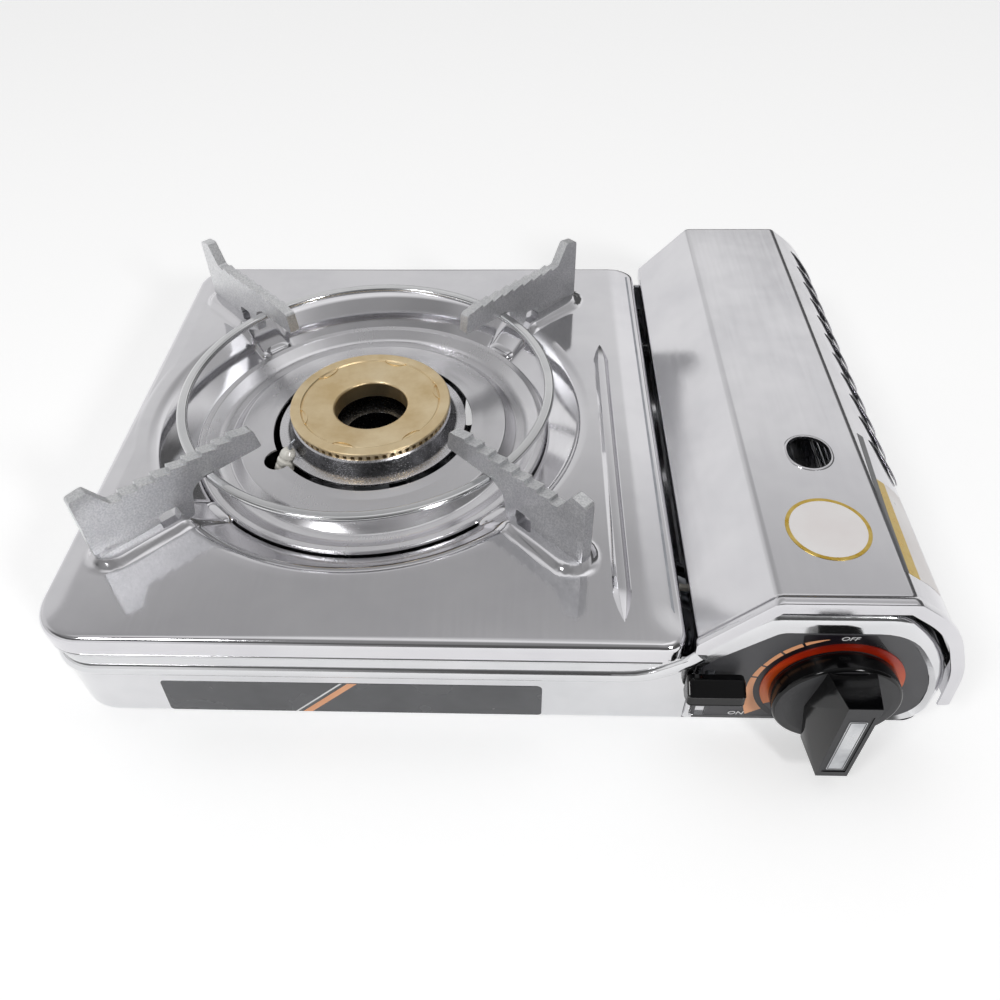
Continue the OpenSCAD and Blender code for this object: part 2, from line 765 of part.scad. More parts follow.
module cartridge_socket() {
    color("goldenrod")
    difference() {
        union() {
            along_y(body_y + 12, 9) translate([bay_x, bay_z]) circle(r = 6);
            along_y(body_y + 20, socket_y - body_y - 20) translate([bay_x, bay_z]) circle(r = 9);
        }
        along_y(socket_y - 6, 6 + over) translate([bay_x, bay_z]) circle(r = 2.1);
        along_y(body_y + 11, 14) translate([bay_x, bay_z]) circle(r = 1);
        along_y(socket_y - 1.6, 1.6 + over) translate([bay_x, bay_z]) circle(r = 4.5);
    }
}

module socket_seal() {
    color("black")
    along_y(socket_y - 1.6, 1.2) translate([bay_x, bay_z]) difference() {
        circle(r = 4.5);
        circle(r = 2.3);
    }
}

module gas_jet() {
    color("goldenrod")
    outlet() translate([0, 0, 17]) {
        cylinder(r = 3.2, h = 4);
        translate([0, 0, 4]) cylinder(r1 = 3.2, r2 = 1.6, h = 3);
    }
}

module governor_bracket() {
    color("silver")
    difference() {
        union() {
            translate([bay_x - 12, body_y - 2, floor_z]) cube([30, 24, 1.5]);
            translate([bay_x - 8, body_y + 4, floor_z]) cube([16, 1.5, bay_z - floor_z]);
            translate([bay_x - 8, body_y + 14, floor_z]) cube([16, 1.5, bay_z - floor_z]);
        }
        along_y(body_y - 3, 30) translate([bay_x, bay_z]) circle(r = body_r);
        translate([bay_x, body_y + 9, tube_z - 9]) cylinder(r = 8, h = 20);
        outlet() cylinder(r = 5, h = 20);
        floor_screw_holes();
    }
}

// --- Burner ------------------------------------------------------------------------------------
module mixing_tube() {
    run = tube_len - neck_r - mouth_gap;
    color("gray")
    difference() {
        translate(jet_at) rotate([0, 90, tube_angle]) translate([0, 0, mouth_gap]) difference() {
            rotate_extrude() polygon(open_path([
                [tube_r + 3, 0], [tube_r + 3, 2, 2], [tube_r, 10, 8], [tube_r, run + 3],
                [tube_r - 1.2, run + 3], [tube_r - 1.2, 10, 8], [tube_r + 1.6, 2, 2], [tube_r + 1.6, 0]
            ]));
            for (a = [0, 180]) rotate(a) translate([tube_r - 3, -2.5, 14]) cube([8, 5, 9]);
        }
        translate([burner_x, burner_y, neck_z - over]) cylinder(r = neck_r, h = 40);
    }
}

module burner_cup() {
    z0 = flange_z - 1.2;
    color("dimgray")
    difference() {
        translate([burner_x, burner_y, 0]) rotate_extrude() polygon([
            [0, neck_z], [neck_r, neck_z], [neck_r, z0 - 7], [30, z0 - 2.5], [flange_r, z0],
            [flange_r, z0 + 1.2], [head_r + 2, flange_z + 0.6], [head_r - 0.4, head_seat - 1.4],
            [head_r, head_seat - 0.8], [head_r - 0.6, head_seat], [head_r - 1.8, head_seat],
            [head_r + 0.4, flange_z], [30, z0 - 0.5], [neck_r - 1.5, z0 - 5], [neck_r - 1.5, neck_z + 1.5],
            [0, neck_z + 1.5]
        ]);
        translate([burner_x, burner_y, tube_z]) rotate([0, 90, tube_angle + 180])
            cylinder(r = tube_r - 1.2, h = neck_r + 5);
        translate([burner_x, burner_y, 0]) rotate(electrode_angle) translate([electrode_at, 0, z0 - 2])
            cylinder(r = 6.6, h = 8);
    }
}

module burner_head() {
    color("burlywood")
    translate([burner_x, burner_y, head_seat]) difference() {
        rotate_extrude($fn = 96) polygon([
            [head_hole_r, 4.1], [head_hole_r + 0.4, 4.1], [head_r - 5.2, 4.1], [head_r - 4.9, 3.8],
            [head_r - 4.6, 4.1], [head_r - 1.2, 4.1], [head_r, 3.4], [head_r, 2.8], [head_r - 1, 2.4],
            [head_r - 1, 0], [head_r - 3.4, 0], [head_r - 3.4, 2.2], [head_hole_r + 4, 2.2],
            [head_hole_r + 2, -6], [head_hole_r, -6]
        ]);
        for (i = [0:slot_count - 1]) rotate(i * 360 / slot_count)
            translate([head_r - 5, -slot_w / 2, 0.2]) cube([6, slot_w, slot_h]);
    }
}

module burner_stand() {
    color("silver")
    difference() {
        union() {
            for (s = [-1, 1]) translate([burner_x, burner_y + s * 24, 0]) {
                translate([-8, -0.75, floor_z]) cube([16, 1.5, flange_z - 8 - floor_z]);
                translate([-8, s > 0 ? 0 : -16, floor_z]) cube([16, 16, 1.5]);
            }
        }
        translate([burner_x, burner_y, 0]) rotate_extrude() polygon([
            [0, flange_z - 8.2], [neck_r, flange_z - 8.2], [30, flange_z - 3.7], [30, plate_z], [0, plate_z]
        ]);
        floor_screw_holes();
    }
}

module electrode_ceramic() {
    color("white")
    translate([burner_x, burner_y, 0]) rotate(electrode_angle) translate([electrode_at, 0, 29]) {
        cylinder(r = 3, h = 13);
        translate([0, 0, 13]) rotate([0, -25, 0]) {
            cylinder(r = 3.4, h = 6);
            translate([0, 0, 6]) cylinder(r1 = 3.4, r2 = 2, h = 5);
        }
    }
}

module electrode_tip() {
    color("silver")
    translate([burner_x, burner_y, 0]) rotate(electrode_angle) translate([electrode_at, 0, 42])
        rotate([0, -25, 0]) translate([0, 0, 11]) {
            cylinder(r = 0.8, h = 3.6);
            translate([0, 0, 3]) rotate([0, -32, 0]) cylinder(r = 0.6, h = 2.8);
        }
}

module igniter_lead() {
    color("white") swept_tube(smooth_path(lead_points, 5), lead_r, 8);
}

// --- Pan support and tray ----------------------------------------------------------------------
tooth_start = fin_tip + 5;
tooth_pitch = (fin_reach - 17.5 - tooth_start) / tooth_count;
function teeth() = [
    for (k = [0:tooth_count - 1]) each [
        [tooth_start + k * tooth_pitch, pan_z - tooth_h, 0],
        [tooth_start + (k + 1) * tooth_pitch - 0.4, pan_z, 0]
    ]
];
function fin_outline() = loop_path(concat(
    [[fin_tip, bar_z, 1], [fin_tip + 2, pan_z - tooth_h, 2]],
    teeth(),
    [
        [fin_reach - 17.5, pan_z - tooth_h, 0], [fin_reach - 13, pan_z - tooth_h + 0.6, 2],
        [fin_reach - 7, pan_z + horn_h, 1.6], [fin_reach, pan_z + horn_h - 1, 1.6],
        [fin_reach, foot_z, 0.6], [well_r + 6, foot_z, 0.6], [well_r + 6, foot_z + 4, 1.6],
        [well_r - 2.2, foot_z + 4, 1.2], [well_r - 3.4, plate_z - 2.6, 0.8],
        [well_r - 7.6, plate_z - 2.6, 0.8], [well_r - 10, bar_z - 3, 6],
        [ring_r + 1, bar_z, 6], [ring_r + 0.1, bar_z], [ring_r + 0.1, bar_z + 0.5],
        [ring_r - ring_w - 0.1, bar_z + 0.5], [ring_r - ring_w - 0.1, bar_z]
    ]
));
module fin(quarter) {
    color("darkgray")
    translate([burner_x, burner_y, 0]) rotate(45 + 90 * quarter) translate([0, fin_t / 2, 0])
        rotate([90, 0, 0]) linear_extrude(fin_t) polygon(fin_outline());
}

module support_ring() {
    e = 0.9;
    color("darkgray")
    translate([burner_x, burner_y, bar_z + 0.5 - ring_t]) rotate_extrude($fn = 128)
        polygon(loop_path([
            [ring_r - ring_w, 0, e], [ring_r, 0, e], [ring_r, ring_t, e], [ring_r - ring_w, ring_t, e]
        ]));
}

module drip_tray() {
    hole_z = gutter_z + tray_rise;
    color("silver")
    difference() {
        translate([burner_x, burner_y, 0]) rotate_extrude($fn = 128) polygon(strip([
            [tray_r + 1.3, ledge_z + tray_t + 0.1], [tray_r + 0.6, ledge_z + tray_t + 1.2, 1],
            [tray_r - 1.4, ledge_z + tray_t + 1.2, 1], [tray_r - 3, ledge_z + tray_t + 0.1, 1],
            [tray_r - 6, ledge_z + tray_t + 0.1, 1.6], [tray_r - 9, gutter_z + 0.4, 3],
            [tray_r - 16, gutter_z, 6], [tray_hole_r + 5, hole_z - 0.8, 4], [tray_hole_r, hole_z + 0.4]
        ], 0, tray_t));
        translate([burner_x, burner_y, gutter_z - 5]) rotate(electrode_angle)
            translate([electrode_at + 1, 0, 0]) cylinder(r = 6.6, h = 20);
    }
}

// --- Lid ---------------------------------------------------------------------------------------
lid_path = [
    [lid_left, lid_skirt_z], [lid_left, plate_z + 0.4, 1.6], [lid_crease_x, lid_z, 7],
    [lid_shoulder_x, lid_z, 7], [lid_shoulder_x + 17.5, lid_z - 12.5, 16],
    [lid_right - 1.5, lid_z - 38, 22], [lid_right, lid_side_z]
];
louvre_slope = 44;
louvre_lean = 40;
module louvres() {
    mid = [lid_shoulder_x + 16, lid_z - 14];
    for (i = [0:louvre_count - 1])
        translate([mid.x, burner_y + 98 - i * louvre_pitch, mid.y]) rotate([0, louvre_slope, 0])
            rotate(louvre_lean - 90) translate([0, 0, -6])
                linear_extrude(14) polygon(slot_outline(louvre_len, louvre_w));
}

module cartridge_lid() {
    window_y = lid_front + window_from_front;
    color("gainsboro")
    difference() {
        union() {
            along_y(lid_front, stove_back - lid_front) polygon(strip(lid_path, 0, -sheet_t));
            // Raised rim and turned-down lip along the front
            along_y(lid_front, lid_rim_d) polygon(strip(lid_path, lid_rim_h, -sheet_t / 2));
            along_y(lid_front, sheet_t) intersection() {
                polygon(strip(lid_path, -sheet_t / 2, -lid_lip));
                translate([lid_left, lid_skirt_z]) square([stove_w, plate_h]);
            }
            // Rear wall
            along_y(stove_back - sheet_t, sheet_t) intersection() {
                polygon(concat(
                    open_path(moved(lid_path, -sheet_t / 2)), [[lid_left + 2, lid_side_z]]
                ));
                translate([lid_left, lid_skirt_z]) square([stove_w, plate_h]);
            }
        }
        translate([lid_crease_x + 25.5, window_y, lid_z - 5]) rotate(90)
            linear_extrude(10) polygon(slot_outline(window_len - window_w, window_w));
        louvres();
        for (x = ear_spots) translate([x - 1.6, hinge_y, hinge_z - 10]) cube([ear_t + 3.2, 10, 14.5]);
    }
}

ear_t = 2;
ear_spots = [lid_left + 5, lid_right - 16];
module ear_shape(back, low) {
    circle(r = rod_r + 1.7);
    translate([-rod_r - 1.7, low]) square([rod_r + 1.7 + back, -low]);
}

// Extrudes an outline of Y and Z to the right, about the hinge
module at_hinge(x, t) {
    translate([x, hinge_y, hinge_z]) rotate([90, 0, 90]) linear_extrude(t) children();
}

module hinge_brackets() {
    reach = case_back - sheet_t - hinge_y;
    color("silver")
    for (x = ear_spots) difference() {
        union() {
            at_hinge(x, ear_t) ear_shape(reach, -24);
            translate([x - 8 + ear_t, case_back - 2.4, hinge_z - 24]) cube([8, 1.4, 14]);
        }
        at_hinge(x - over, ear_t + 2 * over) circle(r = rod_r);
        // Leaves the lid's rear wall free to swing
        at_hinge(x - over, ear_t + 2 * over) translate([rod_r + 1.9, -6.9]) square([6, 20]);
    }
}

module hinge_rod() {
    color("silver")
    at_hinge(ear_spots[0] - 1, ear_spots[1] - ear_spots[0] + ear_t + 2) circle(r = rod_r);
}

module lid_hinge_ears() {
    color("gainsboro")
    for (x = [ear_spots[0] + 4.4, ear_spots[1] - 4.4]) at_hinge(x, 1.6) difference() {
        union() {
            circle(r = rod_r + 1.7);
            translate([0, -rod_r - 1.7]) square([hinge_in - sheet_t, 2 * rod_r + 3.4]);
            translate([hinge_in - sheet_t - 1.4, -rod_r - 1.7]) square([1.4, 9]);
        }
        circle(r = rod_r + shaft_play);
    }
}

// --- Cartridge lock ----------------------------------------------------------------------------
cap_w = 21;
cap_h = 12;
cap_d = 8.5;
module lever_cap() {
    color("black")
    translate([lever_x - 9.5, case_front - 0.6, lever_z]) rotate([90, 0, 90]) linear_extrude(cap_w)
        polygon(loop_path([
            [0, -cap_h / 2 + 1, 0.5], [0, cap_h / 2 - 1, 0.5], [-3, cap_h / 2, 1.5],
            [-cap_d, cap_h / 2 - 3.5, 1.5], [-cap_d, -cap_h / 2 + 3.5, 1.5], [-3, -cap_h / 2, 1.5]
        ]));
}

module lock_arm() {
    low = pin_z - 4.6;
    high = pin_z + lever_travel + 4.6;
    color("silver")
    translate([lever_x - lock_arm_t / 2, 0, 0]) difference() {
        union() {
            translate([0, case_front - 0.6, lever_z - lever_stem_h / 2])
                cube([lock_arm_t, 12, lever_stem_h]);
            translate([0, pin_y - carriage_travel - 5, low])
                cube([lock_arm_t, carriage_travel + 10, high - low]);
            // Tab that holds the spring's lower end
            translate([0, spring_y - 3, low]) cube([spring_x + 3 - lever_x + lock_arm_t / 2, 6, 1.2]);
        }
        // Slanted slot that drives the carriage pin
        slot_run = norm([carriage_travel, lever_travel]);
        translate([-over, pin_y, pin_z]) rotate([atan2(carriage_travel, lever_travel), 0, 0]) {
            for (z = [0, slot_run]) translate([0, 0, z]) rotate([0, 90, 0])
                cylinder(r = pin_r + 0.35, h = lock_arm_t + 2 * over);
            translate([0, -pin_r - 0.35, 0]) cube([lock_arm_t + 2 * over, 2 * pin_r + 0.7, slot_run]);
        }
    }
}

spring_r = 2.2;
spring_wire = 0.45;
spring_turns = 9;
spring_x = lever_x + 6;
spring_y = pin_y - 3;
spring_low = pin_z - 4.6 + 1.2;
spring_high = plate_z - 3;
module lever_spring() {
    n = spring_turns * 10;
    color("silver")
    swept_tube([
        for (i = [0:n])
            [spring_x + spring_r * cos(36 * i), spring_y + spring_r * sin(36 * i),
                spring_low + 0.6 + (spring_high - spring_low - 1.2) * i / n]
    ], spring_wire, 6);
}

// Hangs behind the panel and holds the spring's upper end
module spring_hanger() {
    back = face_y + 2 * face_t;
    color("silver") {
        translate([spring_x - 4, back, spring_high]) cube([8, spring_y + 4 - back, 1.2]);
        translate([spring_x - 4, back, spring_high - 8]) cube([8, 1.2, 8]);
    }
}

carriage_left = bay_x - 29;
carriage_right = bay_x + 29;
carriage_front = socket_y + carriage_travel + 1;
pusher_y = cartridge_back + 0.5;
arm_x = lever_x - lock_arm_t / 2 - 3.1;
module cartridge_carriage() {
    color("silver") {
        difference() {
            translate([carriage_left, carriage_front, carriage_z])
                cube([carriage_right - carriage_left, pusher_y + 1.5 - carriage_front, carriage_t]);
            for (y = [carriage_front + 45, carriage_front + 105])
                translate([bay_x, y, carriage_z - over]) cylinder(r = 16, h = carriage_t + 2 * over);
        }
        // Saddles
        for (y = [carriage_front + 14, pusher_y - 32]) intersection() {
            along_y(y, 14) translate([bay_x, bay_z]) difference() {
                circle(r = cartridge_r + saddle_gap + saddle_t);
                circle(r = cartridge_r + saddle_gap);
            }
            translate([bay_x - 23, y - over, carriage_z]) cube([46, 16 + over, 11]);
        }
        // Pusher behind the cartridge
        translate([bay_x - 14, pusher_y, carriage_z]) cube([28, 1.5, bay_z - carriage_z]);
        // Arm that carries the pin
        translate([arm_x, pin_y - 4.5, carriage_z]) cube([carriage_left - arm_x + 6, 9, carriage_t]);
        translate([carriage_left - 8, pin_y - 4.5, carriage_z])
            cube([14, carriage_front - pin_y + 9, carriage_t]);
        difference() {
            translate([arm_x, pin_y - 4.5, carriage_z]) cube([2.5, 9, pin_z + 4 - carriage_z]);
            translate([arm_x - over, pin_y, pin_z]) rotate([0, 90, 0]) cylinder(r = pin_r, h = 6);
        }
    }
}

module carriage_pin() {
    color("gray")
    translate([arm_x - 0.8, pin_y, pin_z]) rotate([0, 90, 0]) {
        cylinder(r = pin_r, h = 6.4);
        cylinder(r = pin_r + 1, h = 0.8);
    }
}

module carriage_rails() {
    start = carriage_front + 8;
    run = pusher_y - start - 6;
    color("silver")
    for (m = [0, 1]) translate([m == 0 ? carriage_left : carriage_right, start, floor_z])
        mirror([m, 0, 0]) {
            translate([-3, 0, 0]) cube([3 - slide_play, run, carriage_z + carriage_t - floor_z + 1.4]);
            translate([-3, 0, carriage_z + carriage_t - floor_z + slide_play]) cube([5, run, 0.9]);
        }
}

// --- Parts by node -----------------------------------------------------------------------------
base_case();
top_plate();
partition_plate();
panel_frame();
panel_faceplate();
knob_ring();
governor_body();
diaphragm_cover();
cartridge_socket();
socket_seal();
gas_jet();
governor_bracket();
mixing_tube();
burner_cup();
burner_head();
burner_stand();
piezo_igniter();
electrode_ceramic();
electrode_tip();
igniter_lead();
hinge_brackets();
hinge_rod();
carriage_rails();
spring_hanger();
rubber_feet();
cover_screws();
floor_screws();
cartridge_lid();
lid_hinge_ears();
control_knob();
knob_plate();
valve_spindle();
igniter_cam();
lever_cap();
lock_arm();
lever_spring();
cartridge_carriage();
carriage_pin();
igniter_plunger();
fin(2);  // fin_front_left
fin(3);  // fin_front_right
fin(0);  // fin_rear_right
fin(1);  // fin_rear_left
support_ring();
drip_tray();
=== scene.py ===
"""Butane cassette stove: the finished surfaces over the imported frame."""
import json
import math
import bpy
import bmesh
from mathutils import Matrix, Vector


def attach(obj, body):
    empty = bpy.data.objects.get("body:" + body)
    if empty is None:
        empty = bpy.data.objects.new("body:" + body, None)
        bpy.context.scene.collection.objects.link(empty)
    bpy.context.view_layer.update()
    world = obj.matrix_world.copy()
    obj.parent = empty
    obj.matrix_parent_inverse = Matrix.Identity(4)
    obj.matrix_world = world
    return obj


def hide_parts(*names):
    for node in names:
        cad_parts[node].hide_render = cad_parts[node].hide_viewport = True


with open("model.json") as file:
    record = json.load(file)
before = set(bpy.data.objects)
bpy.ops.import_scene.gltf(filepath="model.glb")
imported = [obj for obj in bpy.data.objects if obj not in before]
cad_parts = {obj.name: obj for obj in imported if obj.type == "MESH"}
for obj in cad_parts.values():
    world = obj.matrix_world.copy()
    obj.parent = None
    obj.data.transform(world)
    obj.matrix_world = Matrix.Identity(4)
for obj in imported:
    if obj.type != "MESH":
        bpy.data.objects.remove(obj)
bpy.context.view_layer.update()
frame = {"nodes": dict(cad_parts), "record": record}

CAD = frame["nodes"]

# --- Sizes of the stove, in millimetres ----------------------------------------------------------
STOVE_LEFT, STOVE_FRONT, STOVE_BACK = -169.5, -116.75, 137.25
PLATE_RIGHT, PLATE_Z, SHEET = 68.5, 58.0, 1.0
BURNER = (-60.5, 14.75)
WELL_EDGE, WELL_DEEP, PLATE_BEND = 104, 12.0, 3
LID_LEFT, LID_RIGHT, LID_FRONT = 71.5, 168.6, -116.35
LID_SKIRT_Z, LID_TOP_Z, LID_CREASE_X, LID_SHOULDER_X, LID_SIDE_Z = 54.0, 82.3, 94.5, 139.5, 24.0
KNOB = (124.5, 31.0)
GRIP_Y, FACE_Y, CASE_FRONT = -137.25, -112.75, -114.55
PRINT_FOOT, FLOOR_GLOW = 8.7, 0.42
RING_R, BAR_Z = 84.0, 71.0
TRAY_R, TRAY_HOLE_R, LEDGE_Z, GUTTER_Z, TRAY_RISE, TRAY_T = 79.0, 46.0, 46.0, 43.5, 5.5, 0.8
HEAD_SEAT, HEAD_R, HEAD_HOLE_R, PORTS = 57.2, 36.4, 16.5, 64
ELECTRODE_TURN = math.radians(213.7)
LOBE_W, LOBE_H, FIN_REACH = 21.0, 2.6, 133.0
SKIRT, BEAD_Z = 9.0, 37.0
CASE_LEFT, CASE_RIGHT, CASE_BACK, CASE_RADII = -167.3, 165.0, 135.05, (17, 8, 8, 17)


def m(*values):
    """Millimetres to metres, as a vector when there are three of them."""
    out = [v * 0.001 for v in values]
    return Vector(out) if len(out) == 3 else out[0]


# --- Lines and bends ----------------------------------------------------------------------------
def side_of(a, b):
    d = (b - a).normalized()
    return Vector((-d.y, d.x))


def beside(corners, d):
    """The same corners moved d to the left of the line, with every bend kept concentric."""
    q = [Vector(c[:2]) for c in corners]
    out = []
    for i, c in enumerate(corners):
        if i == 0:
            n, turn = side_of(q[0], q[1]), 0
        elif i == len(q) - 1:
            n, turn = side_of(q[-2], q[-1]), 0
        else:
            a, b = side_of(q[i - 1], q[i]), side_of(q[i], q[i + 1])
            n = (a + b) / (1 + a.dot(b))
            turn = math.copysign(1, (q[i] - q[i - 1]).cross(q[i + 1] - q[i]))
        r = c[2] - d * turn if len(c) > 2 and c[2] > 0 and turn else 0
        p = q[i] + d * n
        out.append((p.x, p.y, max(r, 0.05) if len(c) > 2 and c[2] > 0 and turn else 0))
    return out


def bend(a, b, c, r, step):
    """The points of the arc of radius r that rounds corner b."""
    u, v = (a - b).normalized(), (c - b).normalized()
    half = math.acos(max(-1, min(1, u.dot(v)))) / 2
    if half > math.pi / 2 - 1e-4:
        return [b]
    mid = b + (u + v).normalized() * (r / math.sin(half))
    s, e = b + u * (r / math.tan(half)) - mid, b + v * (r / math.tan(half)) - mid
    start = math.atan2(s.y, s.x)
    turn = (math.atan2(e.y, e.x) - start + 3 * math.pi) % (2 * math.pi) - math.pi
    n = max(2, math.ceil(abs(math.degrees(turn)) / step - 1e-4))
    return [mid + r * Vector((math.cos(start + turn * k / n), math.sin(start + turn * k / n)))
            for k in range(n + 1)]


def line(corners, closed=False, step=6.0):
    """Corners (x, y) or (x, y, radius) as a run of points, each radius turned to an arc."""
    q = [Vector(c[:2]) for c in corners]
    out = []
    for i, c in enumerate(corners):
        if len(c) > 2 and c[2] > 0 and (closed or 0 < i < len(q) - 1):
            out += bend(q[i - 1], q[i], q[(i + 1) % len(q)], c[2], step)
        else:
            out.append(q[i])
    return out


def rounded_plan(x0, x1, y0, y1, radii, step=6.0):
    return line([(x0, y0, radii[0]), (x1, y0, radii[1]), (x1, y1, radii[2]), (x0, y1, radii[3])], True, step)


def upright(points, y):
    """Points (x, z) as places on the upright plane at y."""
    return [m(p.x, y, p.y) for p in points]


def level(points, z):
    return [m(p.x, p.y, z) for p in points]


def slot(length, width, n=10):
    """A slot with round ends, length between their centres."""
    half = [Vector((length / 2 + width / 2 * math.cos(a), width / 2 * math.sin(a)))
            for a in [math.pi * (k / n - 0.5) for k in range(n + 1)]]
    return half + [-p for p in half]


def quarter_turn(n, r=1.0):
    """How far along and how far aside a quarter turn of radius r has gone at each of n steps."""
    return [(r * math.sin(math.pi / 2 * k / n), r - r * math.cos(math.pi / 2 * k / n))
            for k in range(1, n + 1)]


def ways_along(points):
    """The way the run goes at each of its points."""
    return [(q - p).normalized() for p, q in zip([points[0], *points], [*points[1:], points[-1]])]


# --- Bench work ----------------------------------------------------------------------------------
def clear_bench():
    if bpy.context.object and bpy.context.object.mode != "OBJECT":
        bpy.ops.object.mode_set(mode="OBJECT")
    for o in list(bpy.context.selected_objects):
        o.select_set(False)


def take(*pieces):
    """Selects these pieces only, the first one active."""
    clear_bench()
    for o in pieces:
        o.select_set(True)
    bpy.context.view_layer.objects.active = pieces[0]
    return pieces[0]


def edit(piece, select=None):
    take(piece)
    bpy.ops.object.mode_set(mode="EDIT")
    bpy.ops.mesh.select_mode(type="VERT")
    if select is not None:
        bpy.ops.mesh.select_all(action=select)


def leave():
    bpy.ops.mesh.select_mode(type="VERT")
    bpy.ops.object.mode_set(mode="OBJECT")


def pick(piece, test, kind="VERT"):
    """Selects the corners, edges or faces of the open piece that pass a test on their middle."""
    bpy.ops.mesh.select_mode(type="VERT")
    bpy.ops.mesh.select_all(action="DESELECT")
    bpy.ops.mesh.select_mode(type=kind)
    mesh = bmesh.from_edit_mesh(piece.data)
    parts = {"VERT": mesh.verts, "EDGE": mesh.edges, "FACE": mesh.faces}[kind]
    for part in parts:
        if kind == "VERT":
            good = test(part.co)
        elif kind == "EDGE":
            good = test(part.verts[0].co, part.verts[1].co)
        else:
            good = test(part.calc_center_median(), part.normal)
        if good:
            part.select = True
    mesh.select_flush_mode()
    bmesh.update_edit_mesh(piece.data)


def new_point(at):
    """A single point, in the open piece or else in a new one."""
    bpy.ops.mesh.primitive_plane_add(size=0.001, location=at)
    if bpy.context.object.mode != "EDIT":
        bpy.ops.object.mode_set(mode="EDIT")
        bpy.ops.mesh.select_all(action="SELECT")
    bpy.ops.mesh.merge(type="CENTER")


def run_on(points):
    """Draws on from the selected point."""
    for a, b in zip(points, points[1:]):
        bpy.ops.mesh.extrude_vertices_move(TRANSFORM_OT_translate={"value": b - a})


def wire(name, points, closed=False):
    """A line drawn point by point."""
    clear_bench()
    new_point(points[0])
    piece = bpy.context.object
    piece.name = piece.data.name = name
    run_on(points)
    if closed:
        bpy.ops.mesh.select_all(action="SELECT")
        bpy.ops.mesh.edge_face_add()
        bpy.ops.mesh.delete(type="ONLY_FACE")
    leave()
    settle(piece)
    return piece


def settle(piece):
    take(piece)
    bpy.ops.object.transform_apply(location=True, rotation=True, scale=True)


def skin(name, sections, closed=False, caps=False):
    """A surface drawn through lines that have the same number of points."""
    piece = wire(name, sections[0], closed)
    size = len(sections[0])
    for k, points in enumerate(sections[1:], 1):
        edit(piece, "DESELECT")
        new_point(points[0])
        run_on(points)
        leave()
        edit(piece, "DESELECT")
        mesh = bmesh.from_edit_mesh(piece.data)
        mesh.verts.ensure_lookup_table()
        if closed:
            mesh.edges.new((mesh.verts[k * size], mesh.verts[(k + 1) * size - 1]))
        bpy.ops.mesh.select_mode(type="EDGE")
        for e in mesh.edges:
            i, j = sorted(v.index for v in e.verts)
            e.select = (k - 1) * size <= i and (i // size == j // size)
        mesh.select_flush_mode()
        bmesh.update_edit_mesh(piece.data)
        bpy.ops.mesh.bridge_edge_loops()
        leave()
    if caps:
        edit(piece, "DESELECT")
        bpy.ops.mesh.select_mode(type="EDGE")
        bpy.ops.mesh.select_non_manifold()
        bpy.ops.mesh.edge_face_add()
        leave()
    turn_out(piece)
    return piece


def weld(piece, distance=1e-5):
    edit(piece, "SELECT")
    bpy.ops.mesh.remove_doubles(threshold=distance)
    leave()


def turn_out(piece):
    """Every face looks outwards."""
    edit(piece, "SELECT")
    bpy.ops.mesh.normals_make_consistent(inside=False)
    leave()


def face_up(sheet):
    """Turns an open sheet so that its highest face looks up."""
    edit(sheet, "SELECT")
    mesh = bmesh.from_edit_mesh(sheet.data)
    mesh.normal_update()
    if max(mesh.faces, key=lambda f: f.calc_center_median().z).normal.z < 0:
        bpy.ops.mesh.flip_normals()
    leave()


def lathe(name, points, steps, centre=BURNER, closed=False):
    """Points (radius, height) turned about the upright line through centre."""
    piece = wire(name, [m(centre[0] + p.x, centre[1], p.y) for p in points], closed)
    edit(piece, "SELECT")
    bpy.ops.mesh.spin(steps=steps, angle=2 * math.pi, center=m(centre[0], centre[1], 0), axis=(0, 0, 1))
    bpy.ops.mesh.select_all(action="SELECT")
    bpy.ops.mesh.remove_doubles(threshold=1e-6)
    bpy.ops.mesh.normals_make_consistent(inside=False)
    leave()
    return piece


def panel(name, points, depth):
    """A flat outline drawn, filled and pulled out by a vector."""
    piece = wire(name, points, closed=True)
    edit(piece, "SELECT")
    bpy.ops.mesh.edge_face_add()
    bpy.ops.mesh.extrude_region_move(TRANSFORM_OT_translate={"value": depth})
    bpy.ops.mesh.select_all(action="SELECT")
    bpy.ops.mesh.normals_make_consistent(inside=False)
    leave()
    return piece


def use(piece, kind, **settings):
    """Adds a modifier, sets it and applies it."""
    take(piece)
    mod = piece.modifiers.new(kind.lower(), kind)
    for key, value in settings.items():
        setattr(mod, key, value)
    bpy.ops.object.modifier_apply(modifier=mod.name)
    return piece


def ease(piece, width, segments, angle):
    """Rounds every edge sharper than the angle."""
    return use(piece, "BEVEL", width=m(width), segments=segments, limit_method="ANGLE",
               angle_limit=math.radians(angle), use_clamp_overlap=True, miter_outer="MITER_ARC")


def thicken(sheet, t):
    """Gives the sheet its wall, on its inner side."""
    return use(sheet, "SOLIDIFY", thickness=m(t), offset=-1.0, use_even_offset=False,
               use_quality_normals=True)


def block(at, size):
    """A loose block to cut with."""
    clear_bench()
    bpy.ops.mesh.primitive_cube_add(size=1, location=at, scale=size)
    return bpy.context.object


def cut_with(piece, tool):
    use(piece, "BOOLEAN", operation="DIFFERENCE", solver="EXACT", object=tool)
    bpy.data.objects.remove(tool)
    return piece


def join(*pieces):
    take(*pieces)
    bpy.ops.object.join()
    return pieces[0]


def copies(piece, places):
    """One more of the same, each with its own mesh, at each place (a matrix)."""
    out = []
    for k, place in enumerate(places):
        other = piece.copy()
        other.data = piece.data.copy()
        other.name = other.data.name = "%s_%d" % (piece.name, k + 2)
        bpy.context.collection.objects.link(other)
        other.matrix_world = place
        settle(other)
        out.append(other)
    return out


def smooth(piece, angle):
    take(piece)
    bpy.ops.object.shade_smooth_by_angle(angle=math.radians(angle), keep_sharp_edges=False)
    return use(piece, "WEIGHTED_NORMAL", keep_sharp=True, weight=80)


